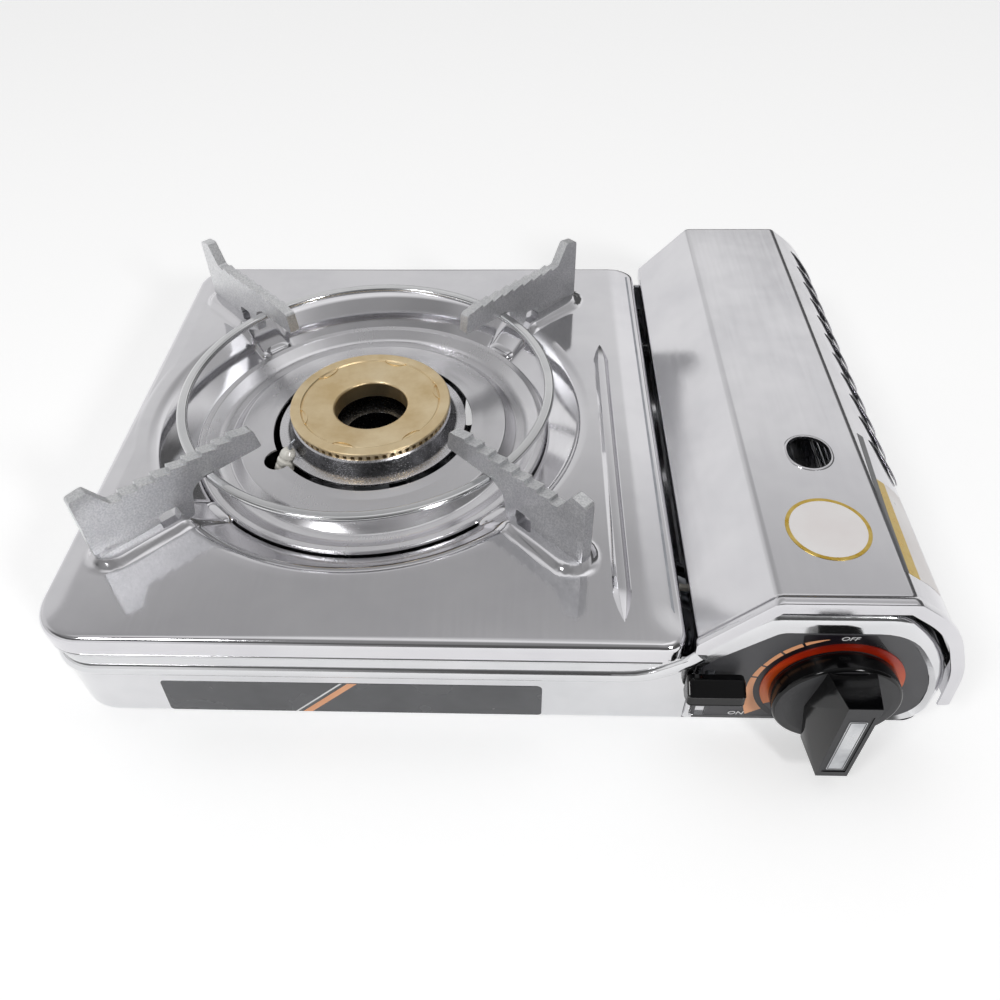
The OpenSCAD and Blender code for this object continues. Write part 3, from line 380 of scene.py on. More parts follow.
def from_cad(name, new_name):
    """A welded copy of a CAD node with its flat faces made whole again."""
    cad = CAD[name]
    piece = cad.copy()
    piece.data = cad.data.copy()
    piece.name = piece.data.name = new_name
    piece.parent = None
    piece.animation_data_clear()
    bpy.context.collection.objects.link(piece)
    piece.matrix_world = Matrix.Identity(4)
    piece.hide_render = False
    take(piece)
    if piece.data.has_custom_normals:
        bpy.ops.mesh.customdata_custom_splitnormals_clear()
    edit(piece, "SELECT")
    bpy.ops.mesh.remove_doubles(threshold=2e-6)
    bpy.ops.mesh.mark_sharp(clear=True)
    bpy.ops.mesh.select_all(action="SELECT")
    bpy.ops.mesh.dissolve_limited(angle_limit=math.radians(0.6), delimit=set())
    bpy.ops.mesh.select_all(action="SELECT")
    bpy.ops.mesh.normals_make_consistent(inside=False)
    leave()
    return piece


def fit(piece, body, finish, slot_name, *nodes):
    """Gives the piece its finish and body, and lets it stand for these CAD nodes."""
    piece.data.materials.clear()
    for one in finish if isinstance(finish, tuple) else [finish]:
        piece.data.materials.append(one)
    if nodes:
        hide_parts(*nodes)
    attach(piece, body)
    return piece


# --- Camera --------------------------------------------------------------------------------------
def aim_camera():
    stand = m(10.6, -292.65, 308.8)
    yaw, pitch, roll = math.radians(-2.4), math.radians(45.3), math.radians(-1.2)
    ahead = Vector((math.sin(yaw) * math.cos(pitch), math.cos(yaw) * math.cos(pitch), -math.sin(pitch)))
    right = Vector((math.cos(yaw), -math.sin(yaw), 0))
    up = right.cross(ahead)
    right, up = math.cos(roll) * right + math.sin(roll) * up, -math.sin(roll) * right + math.cos(roll) * up
    clear_bench()
    bpy.ops.object.camera_add(location=stand)
    camera = bpy.context.object
    camera.name = "view_camera"
    camera.data.sensor_width = 36
    camera.data.lens = 31.1
    camera.data.clip_start = 0.01
    camera.data.clip_end = 20
    turn = Matrix((right, up, -ahead)).transposed().to_4x4()
    camera.matrix_world = Matrix.Translation(stand) @ turn
    bpy.context.scene.camera = camera


aim_camera()


# --- Finishes ------------------------------------------------------------------------------------
def colour(hex_text):
    """An sRGB hex value as linear colour."""
    parts = [int(hex_text[i:i + 2], 16) / 255 for i in (1, 3, 5)]
    return tuple(c / 12.92 if c <= 0.04045 else ((c + 0.055) / 1.055) ** 2.4 for c in parts) + (1.0,)


def add(tree, kind, feed=None, stops=(), **settings):
    """Adds a node with its settings, its sockets set or linked, and the stops of a ramp (position,
    colour or grey). A node given for a socket stands for its first live output."""
    node = tree.nodes.new("ShaderNode" + kind)
    for key, value in settings.items():
        setattr(node, key, value)
    for key, value in (feed or {}).items():
        if isinstance(value, bpy.types.Node):
            value = next(o for o in value.outputs if o.enabled)
        if isinstance(value, bpy.types.NodeSocket):
            tree.links.new(value, node.inputs[key])
        else:
            node.inputs[key].default_value = value
    if stops:
        cells = node.color_ramp.elements
        while len(cells) < len(stops):
            cells.new(0.5)
        for cell, (at, tone) in zip(cells, stops):
            cell.position = at
            cell.color = tone if isinstance(tone, tuple) else (tone, tone, tone, 1)
    return node


def bare_tree(owner):
    """The node tree of a material or the world, emptied."""
    owner.use_nodes = True
    owner.node_tree.nodes.clear()
    return owner.node_tree


def begin(name):
    """A new finish, its tree, and the place on the piece in metres."""
    finish = bpy.data.materials.new(name)
    tree = bare_tree(finish)
    return finish, tree, add(tree, "TexCoord").outputs["Object"]


def close(finish, tree, **sockets):
    """Lays the finish on: the shader with its sockets (_ for a space in a name), on the output."""
    feed = {key.replace("_", " "): value for key, value in sockets.items()}
    shader = add(tree, "BsdfPrincipled", feed)
    add(tree, "OutputMaterial", {"Surface": shader})
    return finish


# Most values of a pattern lie between these. On a Mix node 6 and 7 are the sockets of its colours
MOST = {"From Min": 0.3, "From Max": 0.7}


def stainless(name, tone, worn, haze, grain=1.0, wave=1.0):
    """Cold-rolled 304 stainless sheet: bright mirror with faint rolling lines, wipe marks and the
    slight waves that pressing leaves, so straight reflections wander a little."""
    finish, tree, place = begin(name)
    wipes, waves, specks = [
        add(tree, "TexNoise", {"Vector": place, "Scale": 1 / m(size), "Detail": detail, "Roughness": rough})
        for size, detail, rough in ((38, 3, 0.6), (90, 1, 0.4), (2.4, 4, 0.7))]
    # The rolling lines are drawn 1.6 mm apart, far coarser than real ones, which wouldn't show
    along = add(tree, "Mapping", {"Vector": place, "Scale": (1, 0.03, 1)})
    lines = add(tree, "TexNoise", {"Vector": along, "Scale": 1 / m(1.6), "Detail": 3, "Roughness": 0.6})
    wiped = add(tree, "ValToRGB", {0: wipes}, [(0.35, 0.0), (0.7, 0.8)])
    tones = add(tree, "Mix", {0: wiped, 6: colour(tone), 7: colour(worn)}, data_type="RGBA")
    dull = add(tree, "MapRange", {"Value": wipes, **MOST, "To Min": haze * 0.8, "To Max": haze * 1.25})
    lined = add(tree, "MapRange", {"Value": lines, **MOST, "To Min": -0.02 * grain, "To Max": 0.03 * grain})
    specked = add(tree, "ValToRGB", {0: specks}, [(0.62, 0.0), (0.8, 0.03 * grain)])
    rough = add(tree, "Math", {0: dull, 1: lined}, operation="ADD")
    rough = add(tree, "Math", {0: rough, 1: specked}, operation="ADD")
    bumps = add(tree, "Bump", {"Height": waves, "Distance": m(0.5 * wave), "Strength": 0.35})
    bumps = add(tree, "Bump", {
        "Height": lines, "Distance": m(0.01), "Strength": 0.12 * grain, "Normal": bumps})
    return close(finish, tree, Base_Color=tones, Metallic=1.0, Roughness=rough, Normal=bumps)


def blotched(finish, tree, tones, ramp, pattern, haze, fine, depth, strength, **sockets):
    """Tone and dullness wander with one pattern between two tones and two roughnesses, and a finer
    one stands depth millimetres proud."""
    share = add(tree, "ValToRGB", {0: pattern}, ramp)
    tone = add(tree, "Mix", {0: share, 6: tones[0], 7: tones[1]}, data_type="RGBA")
    rough = add(tree, "MapRange", {"Value": pattern, **MOST, "To Min": haze[0], "To Max": haze[1]})
    bumps = add(tree, "Bump", {"Height": fine, "Distance": m(depth), "Strength": strength})
    return close(finish, tree, Base_Color=tone, Roughness=rough, Normal=bumps, **sockets)


def plated_steel(name, tone, haze=0.34):
    """Zinc-plated mild steel, passivated clear: dull silver with soft cloudy spangle."""
    finish, tree, place = begin(name)
    clouds, fine = [
        add(tree, "TexNoise", {"Vector": place, "Scale": 1 / m(size), "Detail": detail, "Roughness": rough})
        for size, detail, rough in ((14, 4, 0.6), (1.2, 3, 0.6))]
    return blotched(finish, tree, (colour(tone), colour("#8f9298")), [(0.4, 0.0), (0.75, 0.7)], clouds,
                    (haze * 0.8, haze * 1.3), fine, 0.03, 0.3, Metallic=1.0)


def galvanised(name, tone, haze):
    """Tumbled zinc skin on the pan supports: an even light grey, grainy like fine sand."""
    finish, tree, place = begin(name)
    sand, clouds = [
        add(tree, "TexNoise", {"Vector": place, "Scale": 1 / m(size), "Detail": detail, "Roughness": rough})
        for size, detail, rough in ((0.75, 3, 0.7), (12, 3, 0.5))]
    light = add(tree, "ValToRGB", {0: sand}, [(0.38, 0.0), (0.66, 1.0)])
    tones = add(tree, "Mix", {0: light, 6: colour(tone), 7: colour("#eeeeef")}, data_type="RGBA")
    shade = add(tree, "ValToRGB", {0: clouds}, [(0.45, 0.0), (0.85, 0.4)])
    tones = add(tree, "Mix", {0: shade, 6: tones, 7: colour("#acaeb1")}, data_type="RGBA")
    rough = add(tree, "MapRange", {"Value": sand, **MOST, "To Min": haze * 0.85, "To Max": haze * 1.25})
    bumps = add(tree, "Bump", {"Height": sand, "Distance": m(0.07), "Strength": 0.4})
    return close(finish, tree, Base_Color=tones, Metallic=1.0, Roughness=rough, Normal=bumps)


def from_burner(tree, place):
    """How far a place is from the burner's axis."""
    centred = add(tree, "Mapping", {"Vector": place, "Location": m(-BURNER[0], -BURNER[1], 0)})
    flat = add(tree, "VectorMath", {0: centred, 1: (1, 1, 0)}, operation="MULTIPLY")
    return add(tree, "VectorMath", {0: flat}, operation="LENGTH").outputs["Value"]


def turned_brass(name):
    """Forged and turned brass, dulled by heat: soft gold with fine lathe rings about the burner's
    axis and browner patches."""
    finish, tree, place = begin(name)
    # One ring each 0.56 mm
    rings = add(tree, "TexNoise", {"W": from_burner(tree, place), "Scale": 1800.0, "Detail": 3.0},
                noise_dimensions="1D")
    clouds, fine = [
        add(tree, "TexNoise", {"Vector": place, "Scale": 1 / m(size), "Detail": detail, "Roughness": rough})
        for size, detail, rough in ((16, 4, 0.6), (0.7, 2, 0.6))]
    brown = add(tree, "ValToRGB", {0: clouds}, [(0.35, 0.0), (0.7, 1.0)])
    tones = add(tree, "Mix", {0: brown, 6: colour("#f0dcb6"), 7: colour("#dcc396")}, data_type="RGBA")
    rough = add(tree, "MapRange", {"Value": clouds, **MOST, "To Min": 0.34, "To Max": 0.46})
    bumps = add(tree, "Bump", {"Height": rings, "Distance": m(0.05), "Strength": 0.3})
    bumps = add(tree, "Bump", {"Height": fine, "Distance": m(0.02), "Strength": 0.25, "Normal": bumps})
    return close(finish, tree, Base_Color=tones, Metallic=1.0, Roughness=rough, Normal=bumps)


def heat_dark(name):
    """Burner cup of bright steel: speckled and darkened by heat on its wall, still light on the
    flange below and polished on the bead above."""
    finish, tree, place = begin(name)
    height = add(tree, "SeparateXYZ", {0: place}).outputs[2]
    above = add(tree, "MapRange", {"Value": height, "From Min": m(55.6), "From Max": m(56.1)})
    outside = add(tree, "MapRange", {
        "Value": from_burner(tree, place), "From Min": m(38.5), "From Max": m(39.5)})
    light = add(tree, "Math", {0: above, 1: outside}, operation="MAXIMUM")
    wall = add(tree, "Math", {0: 1.0, 1: light}, operation="SUBTRACT")
    clouds, specks = [
        add(tree, "TexNoise", {"Vector": place, "Scale": 1 / m(size), "Detail": detail, "Roughness": rough})
        for size, detail, rough in ((9, 5, 0.65), (0.8, 3, 0.75))]
    patches = add(tree, "ValToRGB", {0: clouds}, [(0.4, 0.0), (0.7, 1.0)])
    dark = add(tree, "Mix", {0: patches, 6: colour("#4a4a4b"), 7: colour("#77777a")}, data_type="RGBA")
    ash = add(tree, "ValToRGB", {0: specks}, [(0.56, 0.0), (0.7, 0.7)])
    dark = add(tree, "Mix", {0: ash, 6: dark, 7: colour("#b4b4b6")}, data_type="RGBA")
    tones = add(tree, "Mix", {0: wall, 6: colour("#d6d5d8"), 7: dark}, data_type="RGBA")
    rough = add(tree, "MapRange", {"Value": specks, **MOST, "To Min": 0.2, "To Max": 0.34})
    bumps = add(tree, "Bump", {"Height": specks, "Distance": m(0.05), "Strength": 0.3})
    return close(finish, tree, Base_Color=tones, Metallic=1.0, Roughness=rough, Normal=bumps)


def moulded(name, tone, light, haze, grit=0.5, depth=0.02, wear=0.25, sheen=0.5):
    """Injection-moulded plastic with faint tool texture, flow marks and hand wear. With other
    numbers it serves for glaze, paint, print and paper, whose tone and gloss wander as softly."""
    finish, tree, place = begin(name)
    flow, grit_marks = [
        add(tree, "TexNoise", {"Vector": place, "Scale": 1 / m(size), "Detail": detail, "Roughness": rough})
        for size, detail, rough in ((22, 3, 0.5), (grit, 2, 0.6))]
    return blotched(finish, tree, (colour(tone), colour(light)), [(0.35, 0.0), (0.75, wear)], flow,
                    (haze * 0.85, haze * 1.2), grit_marks, depth, 0.3, Specular_IOR_Level=sheen)


def ring_paint(name):
    """Screen print that runs from deep red above the knob to clear orange at its sides."""
    finish, tree, place = begin(name)
    height = add(tree, "SeparateXYZ", {0: place}).outputs[2]
    height = add(tree, "MapRange", {"Value": height, "From Min": m(18), "From Max": m(58)})
    fine, flow = [
        add(tree, "TexNoise", {"Vector": place, "Scale": 1 / m(size), "Detail": detail, "Roughness": rough})
        for size, detail, rough in ((0.6, 2, 0.6), (9, 2, 0.5))]
    tones = add(tree, "ValToRGB", {0: height}, [
        (0.0, colour("#f08a4e")), (0.45, colour("#e0591f")), (0.75, colour("#b02a0c")),
        (1.0, colour("#7c1206"))])
    marks = add(tree, "ValToRGB", {0: flow}, [(0.5, 0.0), (0.8, 0.3)])
    tones = add(tree, "Mix", {0: marks, 6: tones, 7: colour("#c03c14")}, data_type="RGBA")
    rough = add(tree, "MapRange", {"Value": fine, **MOST, "To Min": 0.28, "To Max": 0.36})
    bumps = add(tree, "Bump", {"Height": fine, "Distance": m(0.005), "Strength": 0.3})
    return close(finish, tree, Base_Color=tones, Roughness=rough, Normal=bumps)


def foil(name, tone, light, haze):
    """Hot-stamped foil: fine crinkle and a soft sheen."""
    finish, tree, place = begin(name)
    clouds, fine = [
        add(tree, "TexNoise", {"Vector": place, "Scale": 1 / m(size), "Detail": detail, "Roughness": rough})
        for size, detail, rough in ((5, 3, 0.6), (0.8, 2, 0.6))]
    return blotched(finish, tree, (colour(tone), colour(light)), [(0.35, 0.0), (0.7, 1.0)], clouds,
                    (haze * 0.8, haze * 1.25), fine, 0.02, 0.25, Metallic=1.0)


# Bright annealed sheet: the top is the clearest mirror, the casing a duller one that wanders more
STEEL_PLATE = stainless("stainless_2ba_top", "#dfdee1", "#d4d3d7", 0.085)
STEEL_CASE = stainless("stainless_2ba_casing", "#dedee0", "#d2d3d5", 0.11, wave=2.0)
# Plain rolled and deep-drawn sheet: soft reflections with hardly a wave
STEEL_LID = stainless("stainless_2b_lid", "#dcdbde", "#d0cfd3", 0.16, wave=0.5)
STEEL_TRAY = stainless("stainless_drawn_tray", "#dddcdf", "#cfced1", 0.24, grain=0.3, wave=0.3)
RING_STEEL = stainless("polished_support_wire", "#e0e0e1", "#cccdcf", 0.13, wave=0.3)
# Zinc and aluminium: dull silver without a mirror
ZINC_STEEL = plated_steel("zinc_plated_steel", "#b8bbc0")
DIE_CAST = plated_steel("die_cast_zinc", "#a3a6aa", 0.45)
SATIN_PLATE = plated_steel("satin_aluminium_plate", "#d2d3d5", 0.3)
GALVANISED = galvanised("galvanised_support", "#cccdcf", 0.4)
BRASS = turned_brass("turned_brass")
CUP_STEEL = heat_dark("heat_darkened_steel")
# Glazed alumina: a warm white with a wet shine
CERAMIC = moulded("glazed_alumina", "#f0eee8", "#e2ded2", 0.16, 1.5, 0.01, 0.6)
# ABS: a deep black gloss, and a greyer satin on the knob's faces that look to the front, its grey partly
# painted sheen for the floor's reflection
BLACK_ABS = moulded("black_gloss_abs", "#050506", "#0b0b0d", 0.12, 0.6, 0.006, 0.4, 0.3)
SATIN_ABS_PAINTED_SHEEN = moulded("black_satin_abs_painted_sheen", "#353537", "#404043", 0.42, 0.6, 0.02, 0.5, 0.3)
# Acetal, rubber and silicone: waxy, matt and milky
IVORY_POM = moulded("ivory_acetal", "#ddd2b8", "#c9bc9c", 0.42)
RUBBER = moulded("black_rubber", "#161616", "#232323", 0.75, 0.8, 0.05)
SILICONE = moulded("white_silicone_sleeve", "#e6e2d8", "#d8d2c4", 0.5)
# Sprayed paint, a fine matt grey, and screen prints, flat and even
PANEL_PAINT = moulded("grey_panel_paint", "#48484b", "#4f4f52", 0.42, 0.8, 0.03, 0.5)
LABEL_PRINT = moulded("grey_label_print", "#4c4d50", "#5d5e61", 0.25, 0.8, 0.005, 0.8)
DARK_PRINT = moulded("black_panel_print", "#100d12", "#241c28", 0.3, 0.6, 0.005, 0.5)
SCALE_PRINT = moulded("pale_orange_scale_print", "#f4b184", "#eda070", 0.35, 0.6, 0.005, 0.5)
WHITE_PRINT = moulded("white_panel_print", "#f0f0f0", "#dcdcdc", 0.4, 0.6, 0.005, 0.4)
ORANGE_PRINT = moulded("orange_print", "#e2521a", "#a8250f", 0.35)
RING_PRINT = ring_paint("orange_ring_print")
# Coated paper and hot-stamped foil on the lid
STICKER_PAPER = moulded("white_sticker_paper", "#f2efee", "#e6dcda", 0.32, 0.6, 0.005, 0.6)
DARK_STRIP = moulded("dark_strip_print", "#5d5d5f", "#707073", 0.35, 0.6, 0.005, 0.5)
GOLD_FOIL = foil("gold_foil", "#c9a646", "#e3c878", 0.3)
SLOT_FINISH = {
    "stainless": STEEL_CASE, "plain_steel": ZINC_STEEL, "dark_steel": CUP_STEEL,
    "support_metal": GALVANISED, "zinc_cast": DIE_CAST, "silver_plate": SATIN_PLATE, "brass": BRASS,
    "ceramic": CERAMIC, "black_plastic": BLACK_ABS, "ivory_plastic": IVORY_POM,
    "orange_plastic": ORANGE_PRINT, "panel_grey": PANEL_PAINT, "rubber": RUBBER,
    "lead_sleeve": SILICONE,
}
for part in frame["record"]["subparts"]:
    node_object = CAD[part["node"]]
    for k in range(len(node_object.material_slots)):
        node_object.material_slots[k].material = SLOT_FINISH[part["material_slot"]]


# --- Floor and light -----------------------------------------------------------------------------
def lay_floor():
    clear_bench()
    bpy.ops.mesh.primitive_plane_add(size=14, location=(0, 0, -0.0004))
    floor = bpy.context.object
    floor.name = "studio_floor"
    finish = bpy.data.materials.new("white_paper_floor")
    tree = bare_tree(finish)
    ray = add(tree, "LightPath").outputs
    eye = add(tree, "Math", {0: ray["Is Glossy Ray"], 1: ray["Is Transmission Ray"]}, operation="MAXIMUM")
    eye = add(tree, "Math", {0: ray["Is Camera Ray"], 1: eye}, operation="MAXIMUM")
    strength = add(tree, "Math", {0: eye, 1: FLOOR_GLOW}, operation="MULTIPLY")
    paper = add(tree, "BsdfDiffuse", {"Color": colour("#e6e6e6")})
    glow = add(tree, "Emission", {"Color": (1, 1, 1, 1), "Strength": strength})
    both = add(tree, "AddShader", {0: paper, 1: glow})
    add(tree, "OutputMaterial", {"Surface": both})
    floor.data.materials.append(finish)


def lamp(name, at, towards, size, power):
    clear_bench()
    bpy.ops.object.light_add(type="AREA", location=at)
    light = bpy.context.object
    light.name = name
    light.data.shape = "DISK"
    light.data.size = size
    light.data.energy = power
    light.rotation_euler = (Vector(towards) - Vector(at)).to_track_quat("-Z", "Y").to_euler()
    return light


def hang_sky():
    """A white studio. Behind the stove the ceiling is bright above a grey band, and in front it is
    dim. Near the horizon the room is dark but for a pale wall on the left. The camera sees white."""
    world = bpy.data.worlds.new("white_studio")
    bpy.context.scene.world = world
    tree = bare_tree(world)
    way = add(tree, "SeparateXYZ", {0: add(tree, "TexCoord").outputs["Generated"]}).outputs
    # Each from 0 to 1: left to right, front to back, down to up
    side, depth, height = [add(tree, "Math", {0: way[k], 1: 0.5, 2: 0.5}, operation="MULTIPLY_ADD")
                           for k in range(3)]
    behind = add(tree, "ValToRGB", {0: height}, [
        (0.0, 0.8), (0.68, 0.7), (0.72, 0.8), (0.75, 0.8), (0.81, 0.74), (0.85, 0.54), (0.87, 0.44),
        (0.905, 0.44), (0.94, 0.9), (1.0, 1.0)])
    ahead = add(tree, "ValToRGB", {0: height}, [
        (0.0, 0.8), (0.49, 0.8), (0.5, 0.12), (0.79, 0.12), (0.86, 0.28), (0.965, 0.3), (1.0, 0.4)])
    share = add(tree, "ValToRGB", {0: depth}, [(0.42, 0.0), (0.56, 1.0)])
    across = add(tree, "ValToRGB", {0: side}, [
        (0.0, 0.95), (0.4, 0.94), (0.55, 1.0), (0.62, 1.2), (0.7, 1.2), (0.9, 0.75), (1.0, 0.7)])
    tone = add(tree, "Mix", {0: share, 6: ahead, 7: behind}, data_type="RGBA")
    tone = add(tree, "Mix", {0: 1.0, 6: tone, 7: across}, data_type="RGBA", blend_type="MULTIPLY")
    # The low band of the room reaches higher on the right
    low = add(tree, "ValToRGB", {0: side}, [
        (0.0, 0.7), (0.12, 0.92), (0.3, 0.92), (0.4, 0.3), (0.48, 0.1), (1.0, 0.1)])
    raised = add(tree, "ValToRGB", {0: side}, [(0.6, 0.0), (0.75, 0.08), (1.0, 0.12)])
    lift = add(tree, "Math", {0: height, 1: raised}, operation="SUBTRACT")
    below = add(tree, "ValToRGB", {0: lift}, [(0.66, 1.0), (0.72, 0.0)])
    upper = add(tree, "ValToRGB", {0: height}, [(0.49, 0.0), (0.5, 1.0)])
    near = add(tree, "Math", {0: below, 1: upper}, operation="MULTIPLY")
    tone = add(tree, "Mix", {0: near, 6: tone, 7: low}, data_type="RGBA")
    eye = add(tree, "LightPath").outputs["Is Camera Ray"]
    tone = add(tree, "Mix", {0: eye, 6: tone, 7: (1, 1, 1, 1)}, data_type="RGBA")
    back = add(tree, "Background", {"Color": tone, "Strength": 1.0})
    add(tree, "OutputWorld", {"Surface": back})


lay_floor()
hang_sky()
lamp("fill_front_left", (-0.75, -0.85, 1.25), (-0.05, 0, 0.05), 0.32, 5)
lamp("key_front_right", (0.9, -1.2, 0.9), (0, 0, 0.05), 0.25, 8)
bpy.context.scene.view_settings.view_transform = "Standard"


# --- Top plate -----------------------------------------------------------------------------------
WELL_LINE = [(WELL_EDGE, 0), (96.8, 0, 10), (80.8, -WELL_DEEP + 0.3, 1.2), (79.6, -WELL_DEEP, 0.6),
             (74, -WELL_DEEP)]
PLATE_RADII = (20, 8, 8, 15)


def rise(x, y, z):
    """How far the sheet is pressed up at a place by the four lobes that carry the fins, less the
    fall of its side borders."""
    high = 0.0
    for k in range(4):
        a = math.radians(45 + 90 * k)
        along = (x - BURNER[0]) * math.cos(a) + (y - BURNER[1]) * math.sin(a)
        across = (y - BURNER[1]) * math.cos(a) - (x - BURNER[0]) * math.sin(a)
        if along < 80:
            continue
        end = FIN_REACH + 3 - LOBE_W / 2
        inside = LOBE_W / 2 - (abs(across) if along < end else math.hypot(along - end, across))
        t = max(0.0, min(1.0, inside / 3.4))
        high = max(high, t * t * (3 - 2 * t))
    wall = max(0.0, min(1.0, (z - (PLATE_Z - 5.5)) / 5.5))
    # Both side borders fall away a little, outside a crease that turns in at the front corners
    aside = min(x - STOVE_LEFT - 9, PLATE_RIGHT - 13 - x)
    near = min(1.0, max(0.0, (y - STOVE_FRONT - 4) / 14))
    slope = max(0.0, min(1.0, (-aside - 6 * (1 - near) ** 2) / 9)) * (0.3 + 0.7 * near)
    clear = min(1.0, max(0.0, (math.hypot(x - BURNER[0], y - BURNER[1]) - 101) / 5))
    return LOBE_H * high * wall - 1.1 * slope * (1 - high) * clear * wall


def reach(way):
    """How far the plate's edge is from the burner's axis this way."""
    edge = rounded_plan(STOVE_LEFT, PLATE_RIGHT, STOVE_FRONT, STOVE_BACK, PLATE_RADII, 1.5)
    far = 0.0
    for p, q in zip(edge, edge[1:] + edge[:1]):
        p, q = p - Vector(BURNER), q - Vector(BURNER)
        if way.dot(p) > 0 and way.cross(p) * way.cross(q) <= 0 and (q - p).length > 1e-9:
            far = max(far, p.cross(q) / way.cross(q - p))
    return far


def press_plate():
    """The sheet is turned about the burner as far as the well's edge, then drawn out ring by ring
    to its four sides, over the bend and down the skirt."""
    well = line(WELL_LINE[::-1], step=10)
    plate = lathe("top_plate_sheet", [Vector((p.x, PLATE_Z + p.y)) for p in well], 480)
    edit(plate)
    mesh = bmesh.from_edit_mesh(plate.data)
    middle = m(BURNER[0], BURNER[1], 0).xy
    edge_r = m(WELL_EDGE - 0.1)
    far = {}

    def key(way):
        return round(math.atan2(way.y, way.x), 3)
    for v in mesh.verts:
        if (v.co.xy - middle).length > edge_r:
            way = (v.co.xy - middle).normalized()
            far[key(way)] = reach(way) - PLATE_BEND
    # Each ring: its share of the way to the bend, then how far out and down it is from there
    shares = [0.028 * k for k in range(1, 23)] + [0.616 + 0.032 * k for k in range(1, 13)]
    rings = [(t, 0, 0) for t in shares]
    rings += [(1, out, down) for out, down in quarter_turn(7, PLATE_BEND)]
    rings.append((1, PLATE_BEND, SKIRT - 0.7))
    leave()
    edit(plate)
    pick(plate, lambda a, b: min((a.xy - middle).length, (b.xy - middle).length) > edge_r, "EDGE")
    for t, out, down in rings:
        bpy.ops.mesh.extrude_edges_move(TRANSFORM_OT_translate={"value": (0, 0, 0)})
        mesh = bmesh.from_edit_mesh(plate.data)
        for v in mesh.verts:
            if v.select:
                way = (v.co.xy - middle).normalized()
                r = WELL_EDGE + (far[key(way)] - WELL_EDGE) * t + out
                v.co = m(BURNER[0] + way.x * r, BURNER[1] + way.y * r, PLATE_Z - down)
        bmesh.update_edit_mesh(plate.data)
    mesh = bmesh.from_edit_mesh(plate.data)
    for v in mesh.verts:
        v.co.z += m(rise(v.co.x * 1000, v.co.y * 1000, v.co.z * 1000))
    bmesh.update_edit_mesh(plate.data)
    leave()
    turn_out(plate)
    face_up(plate)
    thicken(plate, SHEET)
    smooth(plate, 50)
    return fit(plate, "case", STEEL_PLATE, "stainless", "top_plate")


def roll_hem():
    """The skirt's lower edge, rolled under."""
    # How far in, and how far up from the skirt's end
    profile = [(0.03, 1.6), (0.03, 0.9), (0.25, 0.3), (0.75, 0), (1.35, 0.25), (1.7, 0.8), (1.7, 1.6)]
    hem = skin("rolled_hem", [level(rounded_plan(
        STOVE_LEFT + d, PLATE_RIGHT - d, STOVE_FRONT + d, STOVE_BACK - d, [r - d for r in PLATE_RADII], 10),
        PLATE_Z - SKIRT + up) for d, up in profile], closed=True)
    smooth(hem, 60)
    fit(hem, "case", STEEL_PLATE, "stainless")


def round_casing(stop, z):
    """The casing's wall from the back round the left to the front, each point as its place, the way
    out and the way up."""
    plan = rounded_plan(CASE_LEFT, CASE_RIGHT, CASE_FRONT, CASE_BACK, CASE_RADII, 7.5)
    corner = len(plan) // 4
    run = [Vector((stop, CASE_BACK)), *plan[-corner:], *plan[:corner], Vector((stop, CASE_FRONT))]
    return [(m(p.x, p.y, z), Vector((d.y, -d.x, 0)), Vector((0, 0, 1)))
            for p, d in zip(run, ways_along(run))]


def swell(name, path, profile):
    """A ridge along the casing's wall, its profile given as (out, up)."""
    ridge = skin(name, [[at + (out * a + up * b) * 0.001 for a, b in profile] for at, out, up in path],
                 closed=True, caps=True)
    smooth(ridge, 60)
    fit(ridge, "case", STEEL_CASE, "stainless")


def press_casing():
    """The casing's wall, with its shoulder under the skirt and the bead that climbs to the panel."""
    casing = from_cad("base_case", "casing_pressed")
    smooth(casing, 40)
    fit(casing, "case", STEEL_CASE, "stainless", "base_case")
    swell("casing_shoulder", round_casing(60, PLATE_Z - SKIRT - 1.6), [
        (-0.4, -1.2), (0.5, -1.15), (1.2, -0.8), (1.6, -0.1), (1.6, 0.35), (1.2, 0.8), (0.3, 1.1),
        (-0.4, 1.1)])
    climb = line([(42.5, BEAD_Z), (56.5, BEAD_Z, 30), (70.8, 47, 14), (73.8, 51)], step=5)
    path = round_casing(38, BEAD_Z) + [
        (m(p.x, CASE_FRONT, p.y), Vector((0, -1, 0)), Vector((-d.y, 0, d.x)))
        for p, d in zip(climb, ways_along(climb))]
    half = [(-0.4, 3.4), (0.1, 3.2), (0.75, 2.5), (1.3, 1.5), (1.58, 0.5)]
    swell("casing_bead", path, [(a, -b) for a, b in half] + half[::-1])


press_plate()
roll_hem()
press_casing()


# --- Lid -----------------------------------------------------------------------------------------
LID_LINE = [(LID_LEFT, LID_SKIRT_Z), (LID_LEFT, PLATE_Z + 0.4, 1.6), (LID_CREASE_X, LID_TOP_Z, 4),
            (LID_SHOULDER_X, LID_TOP_Z, 4), (LID_SHOULDER_X + 17.5, LID_TOP_Z - 12.5, 40),
            (LID_RIGHT - 1.5, LID_TOP_Z - 38, 50), (LID_RIGHT, LID_SIDE_Z)]
LOUVRES, LOUVRE_PITCH, LOUVRE_BACK = 11, 15, BURNER[1] + 100
WINDOW = Vector((LID_CREASE_X + 25.5, LID_FRONT + 75))
WINDOW_PLAN = [Vector((p.y, p.x)) for p in slot(2, 17, 16)]


def lid_section(out, y):
    """The lid's outline out millimetres proud of its face, at y. The line runs left to right."""
    return upright(line(beside(LID_LINE, out), step=5), y)


def louvre_places():
    """Where the louvres are: a row down the lid's right-hand slope, each lying slantwise on it."""
    return [Matrix.Translation(m(LID_SHOULDER_X + 13.4, LOUVRE_BACK - LOUVRE_PITCH * i, LID_TOP_Z - 10.6))
            @ Matrix.Rotation(math.radians(42), 4, "Y") @ Matrix.Rotation(math.radians(-62), 4, "Z")
            for i in range(LOUVRES)]


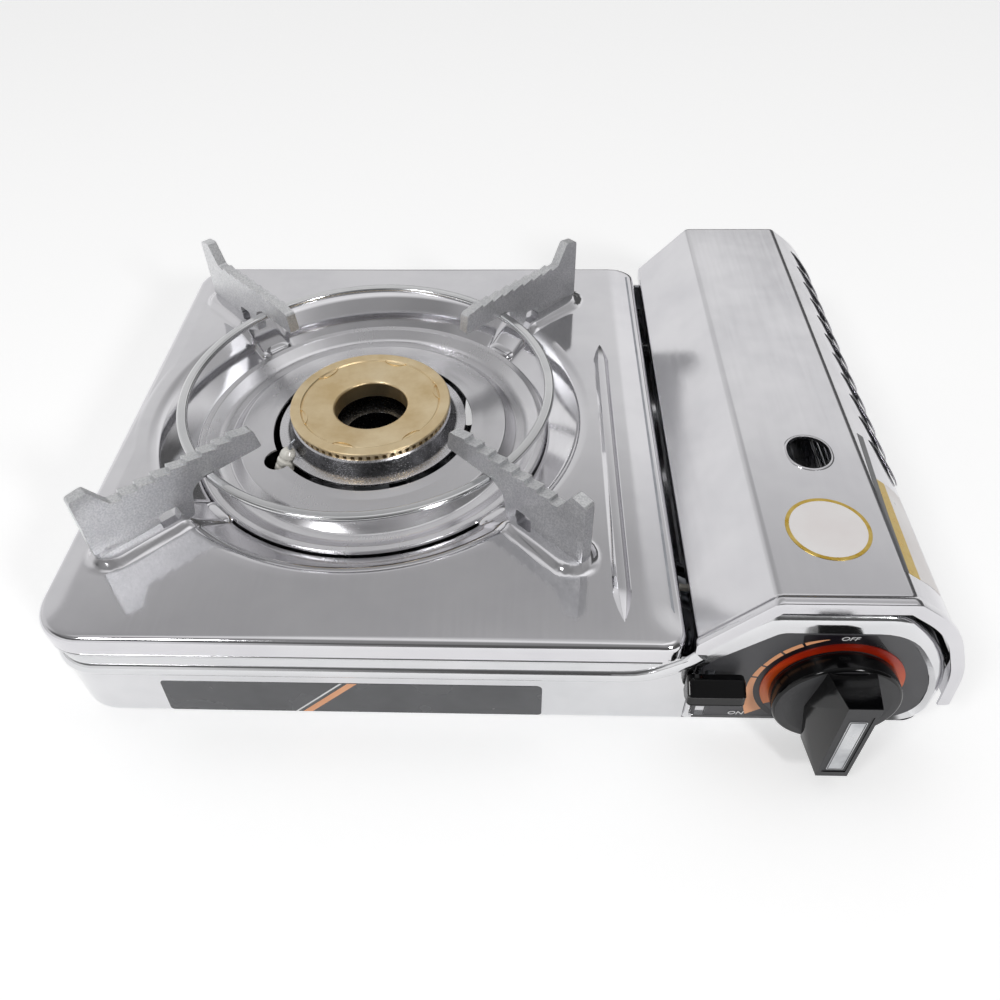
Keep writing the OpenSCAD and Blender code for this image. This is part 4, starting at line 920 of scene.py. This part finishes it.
def lid_louvre_tools():
    tool = panel("louvre_tool", level(slot(19, 2.6), -6), m(0, 0, 14))
    tools = copies(tool, louvre_places())
    bpy.data.objects.remove(tool)
    return join(*tools)


def louvre_hoods():
    """The sheet pushed up beside each louvre slot, like half a lens."""
    sections = []
    for k in range(-6, 7):
        t = k / 6
        w = math.sqrt(max(0.0, 1 - t * t)) + 0.02
        sections.append([m(10.8 * t, y, z * w) for y, z in (
            (1.9 + 1.9 * w, -0.15 / w), (1.6 + 1.5 * w, 0.5), (1.3 + 0.9 * w, 1.0),
            (0.9 + 0.3 * w, 1.25), (0.6, 1.3))])
    hood = skin("louvre_hood", sections)
    thicken(hood, 0.35)
    smooth(hood, 60)
    hoods = copies(hood, louvre_places())
    bpy.data.objects.remove(hood)
    fit(join(*hoods), "lid", STEEL_LID, "stainless")


def press_lid():
    # Front lip, raised rim, sheet, then the rounded rear edge: (proud, how far back from the front)
    runs = [(-4.0, 0), (-1.0, 0), (0.2, 0.12), (0.75, 0.5), (0.9, 1.1), (0.9, 2.6), (0.72, 3.4),
            (0.4, 3.9), (0.1, 4.5), (0.0, 5.4), (0.0, STOVE_BACK - 3 - LID_FRONT)]
    runs += [(-down, STOVE_BACK - 3 - LID_FRONT + along) for along, down in quarter_turn(5, 3)]
    lid = skin("lid_sheet", [lid_section(d, LID_FRONT + y) for d, y in runs])
    face_up(lid)
    thicken(lid, SHEET)
    cut_with(lid, panel("window_tool", level([p + WINDOW for p in WINDOW_PLAN], LID_TOP_Z - 5), m(0, 0, 10)))
    cut_with(lid, lid_louvre_tools())
    # Room for the left hinge bracket when the lid is open
    cut_with(lid, block(m(LID_LEFT + 6, STOVE_BACK - 0.5, 58.5), m(3.4, 5.2, 9)))
    back = [p for p in line(beside(LID_LINE, -0.6), step=5) if p.y > LID_SKIRT_Z]
    outline = [Vector((back[0].x, LID_SKIRT_Z)), *back, Vector((back[-1].x + 0.6, LID_SKIRT_Z))]
    wall = panel("lid_rear_wall", upright(outline, STOVE_BACK - 2.2), m(0, 1.0, 0))
    # Room for the hinge brackets when it is shut
    for x in (LID_LEFT + 6, LID_RIGHT - 15):
        cut_with(wall, block(m(x, STOVE_BACK, 55.8), m(5.2, 10, 14.5)))
    lid = join(lid, wall)
    smooth(lid, 40)
    return fit(lid, "lid", STEEL_LID, "stainless", "cartridge_lid")


press_lid()
louvre_hoods()


# --- Pan support and tray ------------------------------------------------------------------------
def forge_supports():
    """The fins, their edges rounded, and the ring that they stand on."""
    for name in ("fin_rear_right", "fin_rear_left", "fin_front_left", "fin_front_right"):
        fin = from_cad(name, name.replace("fin", "cast_fin"))
        ease(fin, 0.5, 3, 20)
        smooth(fin, 40)
        fit(fin, "pan_support", GALVANISED, "support_metal", name)
    profile = rounded_plan(RING_R - 5.0, RING_R - 0.4, BAR_Z - 2.4, BAR_Z + 0.4, [1.35] * 4, 15)
    ring = lathe("support_ring_wire", profile, 256, closed=True)
    smooth(ring, 60)
    fit(ring, "pan_support", RING_STEEL, "support_metal", "support_ring")


def by_electrode(r, z):
    """A place on the electrode's side of the burner."""
    return m(BURNER[0] + r * math.cos(ELECTRODE_TURN), BURNER[1] + r * math.sin(ELECTRODE_TURN), z)


def draw_tray():
    """The drip tray, one thin sheet: turned rim, gutter, flat and the hole for the burner."""
    hole_z = GUTTER_Z + TRAY_RISE
    shape = [(TRAY_R + 1.3, LEDGE_Z + TRAY_T + 0.1), (TRAY_R + 0.6, LEDGE_Z + 2.2, 1.0),
             (TRAY_R - 2.2, LEDGE_Z + 1.9, 1.4), (TRAY_R - 7.8, GUTTER_Z + 0.7, 7),
             (TRAY_R - 12.4, GUTTER_Z + 0.3, 1.6), (TRAY_R - 17.6, hole_z - 0.7, 1.8),
             (TRAY_HOLE_R + 5, hole_z - 0.3, 9), (TRAY_HOLE_R, hole_z + 0.2)]
    outline = line(shape, step=8) + line(beside(shape, TRAY_T), step=8)[::-1]
    tray = lathe("drip_tray_pressing", outline, 256, closed=True)
    # The bay that makes the hole a keyhole
    clear_bench()
    bpy.ops.mesh.primitive_cylinder_add(vertices=48, radius=m(6.6), depth=m(20),
                                        location=by_electrode(47, GUTTER_Z + 5))
    cut_with(tray, bpy.context.object)
    smooth(tray, 45)
    fit(tray, "tray", STEEL_TRAY, "stainless", "drip_tray")


forge_supports()
draw_tray()


# --- Burner --------------------------------------------------------------------------------------
def around(centre, degrees):
    """A turn about the upright line through centre."""
    there = Matrix.Translation(m(centre[0], centre[1], 0))
    return there @ Matrix.Rotation(math.radians(degrees), 4, "Z") @ there.inverted()


def turn_head():
    """Brass head: a flat rim, a fine groove, a top that falls a little to the hole, and the ports."""
    z = HEAD_SEAT
    outline = line([
        (HEAD_HOLE_R, z - 6), (HEAD_HOLE_R, z + 2.2, 1.4), (HEAD_HOLE_R + 3, z + 2.6, 2.5),
        (30.8, z + 3.7, 0.4), (31.3, z + 3.3, 0.2), (31.8, z + 4.1, 0.3), (HEAD_R, z + 4.1, 0.7),
        (HEAD_R, z + 2.7, 0.2), (HEAD_R - 1, z + 2.4), (HEAD_R - 1, z), (HEAD_R - 3.4, z),
        (HEAD_R - 3.4, z + 2.2), (HEAD_HOLE_R + 4, z + 2.2), (HEAD_HOLE_R + 2, z - 6)], True, 15)
    head = lathe("burner_head_turned", outline, 256, closed=True)
    tool = block(m(BURNER[0] + HEAD_R - 2, BURNER[1], z + 1.2), m(6, 1.7, 2.1))
    settle(tool)
    tools = copies(tool, [around(BURNER, 360 / PORTS * k) for k in range(1, PORTS)])
    cut_with(head, join(tool, *tools))
    smooth(head, 35)
    fit(head, "case", BRASS, "brass", "burner_head")
    # Six thin crescents, cast proud near the rim
    angles = [math.radians(-80 + 10 * k) for k in range(17)]
    arc = ([Vector((31.9 - 3.0 * math.cos(t), 5.8 * math.sin(t))) for t in angles]
           + [Vector((31.9 - 2.3 * math.cos(t), 5.1 * math.sin(t))) for t in reversed(angles)])
    mark = panel("head_crescent", [m(BURNER[0] + p.x, BURNER[1] + p.y, z + 3.2) for p in arc], m(0, 0, 0.85))
    ease(mark, 0.12, 2, 40)
    smooth(mark, 40)
    marks = copies(mark, [around(BURNER, d) for d in (15, 75, 137, 200, 255, 312)])
    bpy.data.objects.remove(mark)
    fit(join(*marks), "case", BRASS, "brass")
    marks[0].name = "head_crescents"


def dress_burner():
    cup = from_cad("burner_cup", "burner_cup_finished")
    ease(cup, 0.35, 3, 25)
    smooth(cup, 40)
    fit(cup, "case", CUP_STEEL, "dark_steel", "burner_cup")
    # The insulator: a ribbed white tube that leans in towards the ports
    shape = [(0, -13), (3.2, -13), (3.2, -0.5, 0.6), (4.2, 0, 0.6), (4.2, 2.2, 0.6), (3.5, 2.6, 0.3),
             (3.5, 3.4, 0.3), (4.1, 3.8, 0.5), (4.1, 5.6, 0.5), (3.3, 6.2, 0.3), (3.3, 7.0, 0.3),
             (3.7, 7.5, 0.5), (3.4, 9.4, 0.8), (2.3, 11.2, 0.5), (0.9, 11.4), (0.9, 10.4), (0, 10.4)]
    tube = lathe("electrode_insulator", line(shape, step=15), 40, (0, 0))
    tube.matrix_world = (Matrix.Translation(by_electrode(46, 42)) @ Matrix.Rotation(ELECTRODE_TURN, 4, "Z")
                         @ Matrix.Rotation(math.radians(-25), 4, "Y"))
    settle(tube)
    smooth(tube, 40)
    fit(tube, "case", CERAMIC, "ceramic", "electrode_ceramic")


turn_head()
dress_burner()


# --- Pressings beside the burner -----------------------------------------------------------------
def press_pads():
    """The domed pads at the foot of the well's wall, one under each fin."""
    profile = [(-4.6, -1.4), (-4.1, 0.4), (-3.2, 1.9), (-1.6, 2.7), (0.6, 2.9), (2.6, 3.2), (4.4, 2.9),
               (5.6, 1.6), (5.8, -1.4)]
    x, foot = BURNER[0] + 83.2, PLATE_Z - WELL_DEEP + 0.4
    sections = []
    for k in range(-6, 7):
        w = math.sqrt(max(0.0, 1 - (k / 6) ** 4)) + 0.03
        sections.append([m(x + out * w, BURNER[1] + 9.2 * k / 6, foot + up * w) for out, up in profile])
    pad = skin("ledge_pad", sections, closed=True, caps=True)
    smooth(pad, 60)
    pads = copies(pad, [around(BURNER, d) for d in (45, 135, 225, 315)])
    bpy.data.objects.remove(pad)
    fit(join(*pads), "case", STEEL_PLATE, "stainless")


def raise_rib():
    """The long pressed rib beside the lid: sloping flanks, a narrow flat and pointed ends."""
    x, low, high = 46.5, -105.7, 64.2
    profile = [(-3.9, 0), (-3.3, 0.08), (-1.7, 0.93), (-1.3, 1.0)]
    profile += [(-out, up) for out, up in profile[::-1]]
    # Each end: how far from it, and how wide and high the rib is there
    end = [(0, 0.05, 0), (2, 0.25, 0.35), (6, 0.62, 1.0), (12, 0.95, 1.7), (16, 1, 1.8)]
    runs = [(low + d, w, h) for d, w, h in end] + [(high - d, w, h) for d, w, h in end[::-1]]
    rib = skin("pressed_rib", [[m(x + w * out, y, PLATE_Z + h * up - 0.08) for out, up in profile]
                               for y, w, h in runs])
    face_up(rib)
    smooth(rib, 30)
    fit(rib, "case", STEEL_PLATE, "stainless")


press_pads()
raise_rib()


# --- Control panel -------------------------------------------------------------------------------
def on_face(r, degrees):
    """A place (x, z) about the knob's axis, kept above the foot of the prints."""
    a = math.radians(degrees)
    return Vector((KNOB[0] + r * math.cos(a), max(KNOB[1] + r * math.sin(a), PRINT_FOOT)))


def between(stops, at):
    """The value at a point of a line of stops (point, value)."""
    for (a, u), (b, v) in zip(stops, stops[1:]):
        if a <= at <= b:
            return u + (v - u) * (at - a) / (b - a)
    return stops[0][1] if at < stops[0][0] else stops[-1][1]


def band(name, start, end, inner, outer, finish, proud=0.06):
    """A printed band about the knob's axis, inner and outer given as radii at angles."""
    n = max(2, math.ceil((end - start) / 2))
    turns = [start + (end - start) * k / n for k in range(n + 1)]
    points = ([on_face(between(outer, a), a) for a in turns]
              + [on_face(between(inner, a), a) for a in reversed(turns)])
    piece = panel(name, upright(points, FACE_Y - proud), m(0, proud + 0.1, 0))
    weld(piece, 1e-6)
    return fit(piece, "case", finish, "orange_plastic" if finish is not DARK_PRINT else "panel_grey")


def words(name, text, x, z, y, wide, thick=0.05):
    """White letters 3 mm high, leaning to the right, centred on a place of the panel."""
    clear_bench()
    bpy.ops.object.text_add(location=m(x, y, z))
    piece = bpy.context.object
    piece.name = name
    piece.data.body = text
    piece.data.size = m(3.0)
    piece.data.align_x, piece.data.align_y = "CENTER", "CENTER"
    piece.data.extrude = m(thick)
    piece.data.shear = 0.2
    piece.data.resolution_u = 6
    piece.rotation_euler = (math.radians(90), 0, 0)
    piece.scale = (wide, 1, 1)
    take(piece)
    bpy.ops.object.convert(target="MESH")
    piece = bpy.context.object
    settle(piece)
    return fit(piece, "case", WHITE_PRINT, "panel_grey")


def print_panel():
    # The scale runs down the left of the knob in five fields, wider and wider
    rim_out = [(104, 29.1), (110, 29.6), (121, 30.3), (135, 30.3), (153, 29.9), (170, 30.4), (188, 30.9),
               (200, 31.9), (218, 35.2), (222, 36.5)]
    rim_in = [(104, 29.0), (112, 28.6), (126, 28.4), (150, 28.2), (230, 28.3)]
    cuts = [104, 122, 138, 157, 171.5, 217.5]
    for k, (a, b) in enumerate(zip(cuts, cuts[1:])):
        band("scale_%d" % (k + 1), a + 0.9, b - 0.9 if k < 4 else b, rim_in, rim_out, SCALE_PRINT)
    band("scale_border", 118, 232, [(0, 25.9)], [(0, 28.1), (112, 28.2), (360, 28.2)], DARK_PRINT)
    # Dark field behind OFF
    low = [on_face(25.9, a) for a in range(126, 52, -3)]
    outline = [Vector((107.6, 61.2)), *low, Vector((132.6, 61.8)), Vector((109.0, 61.8))]
    field = panel("off_field", upright(outline, FACE_Y - 0.04), m(0, 0.12, 0))
    fit(field, "case", DARK_PRINT, "panel_grey")
    ring = band("setting_ring_print", -20, 210, [(-360, 22.3)], [(-360, 25.9)], RING_PRINT, 0.5)
    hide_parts("knob_ring")
    words("word_off", "OFF", 123.8, 59.7, FACE_Y - 0.1, 1.2)
    words("word_on", "ON", 92.6, 10.6, FACE_Y - 0.25, 1.3, 0.1)


PANEL_LINE = [(71.8, 7.0), (71.8, 53.4, 1), (95.5, 73.1, 6), (139.5, 73.3, 16), (155.5, 58.3, 50),
              (164.7, 38.3, 50), (164.7, 7.0, 12)]
FACE_LINE = [(75.8, 8.5, 1), (75.8, 42, 2), (80.8, 48, 4), (99.5, 63.3, 5), (142.5, 63.3, 20),
             (155.7, 44.3, 60), (161, 30.3, 40), (161, 8.5, 13)]


def loop_beside(corners, d):
    """A closed outline moved d inwards (it runs clockwise seen from the front)."""
    out = []
    for i, c in enumerate(corners):
        p, q, r = Vector(corners[i - 1][:2]), Vector(c[:2]), Vector(corners[(i + 1) % len(corners)][:2])
        a, b = -side_of(p, q), -side_of(q, r)
        n = (a + b) / (1 + a.dot(b))
        radius = c[2] - d if len(c) > 2 else 1.2
        out.append((q.x + d * n.x, q.y + d * n.y, max(radius, 0.6)))
    return out


def press_frame():
    """The bright frame round the panel: rounded outside, sloping in to the faceplate."""
    def ring(inset, back):
        return upright(line(loop_beside(PANEL_LINE, inset), True, 10), CASE_FRONT + back)
    runs = [(0.0, 8.0), (0.0, 2.6)] + [(4.6 * down, 2.6 - 2.6 * along) for along, down in quarter_turn(8)]
    bezel = skin("panel_frame_pressed", [ring(d, y) for d, y in runs], closed=True, caps=True)
    pocket = skin("pocket_tool", [upright(line(loop_beside(FACE_LINE, -grow), True, 10), y) for grow, y in (
        (2.2, CASE_FRONT - 0.4), (0, FACE_Y), (0, FACE_Y + 1.0))], closed=True, caps=True)
    hollow = skin("hollow_tool", [ring(1.2, FACE_Y - CASE_FRONT + 2.0), ring(1.2, 20)], closed=True,
                  caps=True)
    lever_slot = block(m(79, FACE_Y, 27), m(4, 8, 28))
    clear_bench()
    bpy.ops.mesh.primitive_cylinder_add(
        vertices=48, radius=m(4.6), depth=m(12), location=m(KNOB[0], FACE_Y, KNOB[1]),
        rotation=(math.pi / 2, 0, 0))
    for tool in (pocket, hollow, lever_slot, bpy.context.object):
        cut_with(bezel, tool)
    weld(bezel, 2e-6)
    ease(bezel, 0.45, 3, 28)
    smooth(bezel, 32)
    fit(bezel, "case", STEEL_CASE, "stainless", "panel_frame")


def mount_badge():
    """The bright plate let into the grip: round corners, a fine engraved border, black round it."""
    def slab(name, w, low, high, r, back, thick):
        plan = rounded_plan(KNOB[0] - w, KNOB[0] + w, KNOB[1] + low, KNOB[1] + high, [r] * 4, 15)
        return panel(name, upright(plan, GRIP_Y + back), m(0, thick, 0))
    bed = slab("badge_bed", 4.3, -19.9, 17.9, 0.3, 0.35, 0.25)
    # The bed's greyer satin is partly painted sheen, standing for the floor's reflection
    fit(bed, "knob", SATIN_ABS_PAINTED_SHEEN, "black_plastic")
    plate = slab("knob_badge", 3.1, -18.4, 14.6, 0.7, 0.12, 0.26)
    edge = slab("badge_edge", 2.75, -18.05, 14.25, 0.5, 0.05, 0.12)
    cut_with(edge, slab("badge_edge_tool", 2.5, -17.8, 14.0, 0.3, -0.2, 0.6))
    ease(plate, 0.06, 2, 40)
    smooth(plate, 35)
    fit(plate, "knob", SATIN_PLATE, "silver_plate", "knob_plate")
    fit(edge, "knob", DARK_PRINT, "silver_plate")


def mould_cap():
    """The lever's cap: a black block with chamfered flanks, two fine ridges and round ends."""
    shape = line([(0, -5, 0.5), (0, 5, 0.5), (-3, 6, 1.5), (-7.9, 3.1, 0.5), (-8.75, 2.7, 0.35),
                  (-8.45, 2.0, 0.2), (-8.45, -2.0, 0.2), (-8.75, -2.7, 0.35), (-7.9, -3.1, 0.5),
                  (-3, -6, 1.5)], True, 15)
    # Along the cap: the place, and how much smaller it is there
    runs = [(69.5, 1.6), (69.6, 1.0), (70.0, 0.4), (70.8, 0.06), (72, 0), (88.5, 0), (89.4, 0.06),
            (90.1, 0.4), (90.4, 0.9), (90.5, 1.4)]
    middle = Vector((-4, 0))
    sections = []
    for x, d in runs:
        small = [middle + (p - middle) * (1 - d / 5) for p in shape]
        sections.append([m(x, CASE_FRONT - 0.6 + p.x, 35.5 + p.y) for p in small])
    cap = skin("lever_cap_moulded", sections, closed=True, caps=True)
    smooth(cap, 32)
    fit(cap, "lever", BLACK_ABS, "black_plastic", "lever_cap")


def dress_panel():
    press_frame()
    mount_badge()
    mould_cap()
    plate = from_cad("panel_faceplate", "panel_faceplate_finished")
    ease(plate, 0.15, 4, 40)
    smooth(plate, 35)
    fit(plate, "case", PANEL_PAINT, "panel_grey", "panel_faceplate")
    knob = from_cad("control_knob", "control_knob_finished")
    ease(knob, 0.55, 4, 20)
    smooth(knob, 35)
    fit(knob, "knob", (BLACK_ABS, SATIN_ABS_PAINTED_SHEEN), "black_plastic", "control_knob")
    # Faces that look to the front take the greyer satin, partly painted sheen for the floor's reflection
    for face in knob.data.polygons:
        face.material_index = 1 if face.normal.y < -0.96 else 0


dress_panel()
print_panel()


# --- Lid trim ------------------------------------------------------------------------------------
def slope_place(y, run, proud):
    """A place on the lid's right-hand slope, run millimetres down from the shoulder's bend."""
    points = line(beside(LID_LINE, proud), step=3)
    points = points[next(i for i, p in enumerate(points) if p.x > LID_SHOULDER_X - 1):]
    for p, q in zip(points, points[1:]):
        step = (q - p).length
        if run <= step:
            p = p.lerp(q, run / step)
            break
        run -= step
    return m(p.x, y, p.y)


def stick_on():
    """A blank round sticker on the lid's top, and three plain strips along its slope."""
    # The round sticker's disc and its rim: inner radius, outer radius, height
    for name, inner, outer, up, finish in (("round_sticker_paper", 0, 14.2, 0.12, STICKER_PAPER),
                                           ("round_sticker_rim", 13.6, 15, 0.16, GOLD_FOIL)):
        bend_r = 0.04 if inner else 0
        profile = line([(inner, LID_TOP_Z), (inner, LID_TOP_Z + up, bend_r), (outer, LID_TOP_Z + up, bend_r),
                        (outer, LID_TOP_Z)], True)
        piece = lathe(name, profile, 96, (118.0, -81.5), closed=True)
        smooth(piece, 30)
        fit(piece, "lid", finish, "stainless")
    # Each strip: (y, run where it begins, run where it ends) from back to front
    for name, rows, finish in (
            ("slope_strip_dark", [(-27, 5, 8.5), (-54, 2.4, 5.6), (-76, 0.6, 3.6), (-101, 0.2, 2.2)],
             DARK_STRIP),
            ("slope_strip_gold", [(-53, 5.6, 10), (-76, 3.6, 9), (-101, 2.2, 8.2)], GOLD_FOIL),
            ("slope_strip_pale", [(-53, 10, 21), (-76, 9, 21), (-101, 8.2, 21)], STICKER_PAPER)):
        sections = []
        for (y, a, b), (y2, a2, b2) in zip(rows, rows[1:]):
            for k in range(4 if y2 != rows[-1][0] else 5):
                t = k / 4
                at, low, high = y + (y2 - y) * t, a + (a2 - a) * t, b + (b2 - b) * t
                sections.append([slope_place(at, low + (high - low) * j / 8, 0.1) for j in range(9)])
        piece = skin(name, sections)
        thicken(piece, 0.09)
        smooth(piece, 30)
        fit(piece, "lid", finish, "stainless")


def rim_window():
    """The turned lip of the gauge window."""
    sections = []
    for out, up in ((0.9, -0.05), (0.6, 0.3), (0.15, 0.42), (-0.25, 0.3), (-0.4, -0.2), (-0.4, -1.2)):
        ring = [WINDOW + p + p.normalized() * out for p in WINDOW_PLAN]
        sections.append(level(ring, LID_TOP_Z + up))
    piece = skin("window_lip", sections, closed=True)
    smooth(piece, 50)
    fit(piece, "lid", STEEL_LID, "stainless")


def label_front():
    """The dark field on the casing's front: a plain parallelogram with two slanting stripes."""
    corners = [(-128.5, 9.6, 1.6), (17.5, 9.6, 1.6), (17.5, 29.6, 2.4), (-127.5, 29.6, 1.6)]
    piece = panel("front_label", upright(line(corners, True, 12), CASE_FRONT - 0.12), m(0, 0.2, 0))
    fit(piece, "case", LABEL_PRINT, "stainless")
    for name, x, w, finish in (("label_stripe_wide", -66, 3.6, SCALE_PRINT),
                               ("label_stripe_fine", -69, 1.0, WHITE_PRINT)):
        corners = [(x - 10, 9.7), (x - 10 + w, 9.7), (x + 10 + w, 29.5), (x + 10, 29.5)]
        fit(panel(name, upright([Vector(c) for c in corners], CASE_FRONT - 0.2), m(0, 0.12, 0)),
            "case", finish, "stainless")


stick_on()
rim_window()
label_front()


# --- Clear the selection -------------------------------------------------------------------------
clear_bench()
